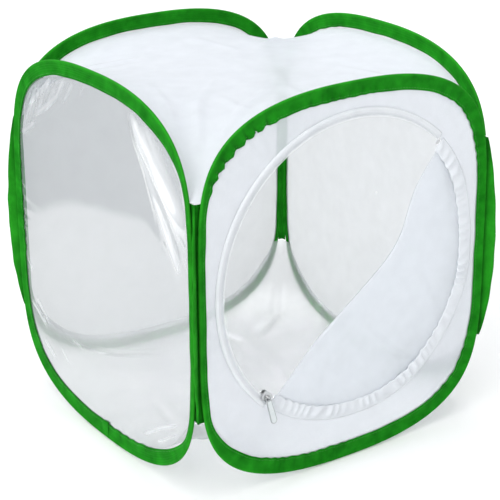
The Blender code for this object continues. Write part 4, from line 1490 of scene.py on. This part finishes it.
# The pull tab is a die-cast strip of satin grey metal with a rounded end, a raised rim round the hollow in
# each face, and an eye at the top. It hangs with its eye on the slider's arch.
pull_grey = plain_finish(
    "satin grey metal",
    dark=(0.34, 0.36, 0.37),
    light=(0.50, 0.52, 0.53),
    roughness=0.32,
    metallic=0.75,
    relief=0.12,
)
hollow_grey = plain_finish(
    "grey in the hollow",
    dark=(0.61, 0.66, 0.67),
    light=(0.75, 0.79, 0.80),
    roughness=0.5,
    metallic=0.1,
)
swing_point = np.array(joints["pull_swing"]["pos_m"])
swing_axis = np.array(joints["pull_swing"]["axis"])
across_tab = swing_axis / np.linalg.norm(swing_axis)
packed_tab = np.array([vert.co for vert in frame["nodes"]["pull_tab"].data.vertices])
from_eye = packed_tab - swing_point
down_tab = from_eye.mean(axis=0)
down_tab = down_tab - across_tab * (down_tab @ across_tab)
down_tab = down_tab / np.linalg.norm(down_tab)
out_tab = np.cross(across_tab, down_tab)

# Each outline is a line drawn taut round discs, given as down from the eye, across, and radius
face_level = 0.00045
hollow_depth = 0.00028
end_radius = 0.00303
rim_width = 0.00075
end_down = (from_eye @ down_tab).max() - end_radius
tab_discs = [(0.00035, -0.00161, 0.0008), (0.00035, 0.00161, 0.0008), (end_down, 0.0, end_radius)]
hollow_discs = [(0.0045, -0.0012, 0.0006), (0.0045, 0.0012, 0.0006), (end_down, 0.0, end_radius - rim_width)]
eye_discs = [(down, across, 0.0003) for down in (0.00075, 0.00235) for across in (-0.00148, 0.00148)]

# From face to face, how far each outline is drawn in and on what level, for the outer edge and the eye
edge_rounding = [(0.00018, face_level), (0.00005, 0.00040), (0.0, 0.00027)]
edge_rounding += [(inset, -level) for inset, level in edge_rounding[::-1]]
eye_rounding = [(-0.0001, face_level), (0.0, 0.00035), (0.0, -0.00035), (-0.0001, -face_level)]
tab_shape = bmesh.new()


def tab_loop(discs, inset, level, count=64, first_turn=0.01):
    """The line drawn taut round some discs, on one level of the tab, from a little past straight down."""
    loop = []
    for turn in np.arange(count) * 2 * math.pi / count + first_turn:
        way = np.array([math.cos(turn), math.sin(turn)])
        down, across, radius = max(discs, key=lambda disc: np.dot(disc[:2], way) + disc[2])
        edge = np.array([down, across]) + (radius - inset) * way
        point = swing_point + down_tab * edge[0] + across_tab * edge[1] + out_tab * level
        loop.append(tab_shape.verts.new(point))
    return loop


def tab_wall(loops, finish=0):
    """Joins each loop to the next one."""
    for first, second in zip(loops[:-1], loops[1:]):
        for i in range(len(first)):
            corners = (first[i - 1], first[i], second[i], second[i - 1])
            tab_shape.faces.new(corners).material_index = finish


edge_loops = [tab_loop(tab_discs, inset, level) for inset, level in edge_rounding]
eye_loops = [tab_loop(eye_discs, inset, level) for inset, level in eye_rounding]
tab_wall(edge_loops)
tab_wall(eye_loops)
for face, edge_loop, eye_loop in ((1, edge_loops[0], eye_loops[0]), (-1, edge_loops[-1], eye_loops[-1])):
    hollow_top = tab_loop(hollow_discs, 0.0, face * face_level)
    hollow_floor = tab_loop(hollow_discs, hollow_depth, face * (face_level - hollow_depth))
    tab_wall([hollow_top, hollow_floor], 1)
    tab_shape.faces.new(hollow_floor).material_index = 1
    face_edges = []
    for loop in (edge_loop, eye_loop, hollow_top):
        face_edges += [tab_shape.edges.get((loop[i - 1], loop[i])) for i in range(len(loop))]
    bmesh.ops.triangle_fill(tab_shape, use_beauty=True, edges=face_edges)
bmesh.ops.triangulate(tab_shape, faces=tab_shape.faces)
bmesh.ops.recalc_face_normals(tab_shape, faces=tab_shape.faces)
pull_mesh = bpy.data.meshes.new("pull tab")
pull_mesh.materials.append(pull_grey)
pull_mesh.materials.append(hollow_grey)
tab_shape.to_mesh(pull_mesh)
tab_shape.free()
pull_mesh.shade_smooth()
pull_mesh.set_sharp_from_angle(angle=math.radians(40))
pull = put_in_scene("pull_tab_rounded", pull_mesh)
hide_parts("pull_tab")
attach(pull, "pull")
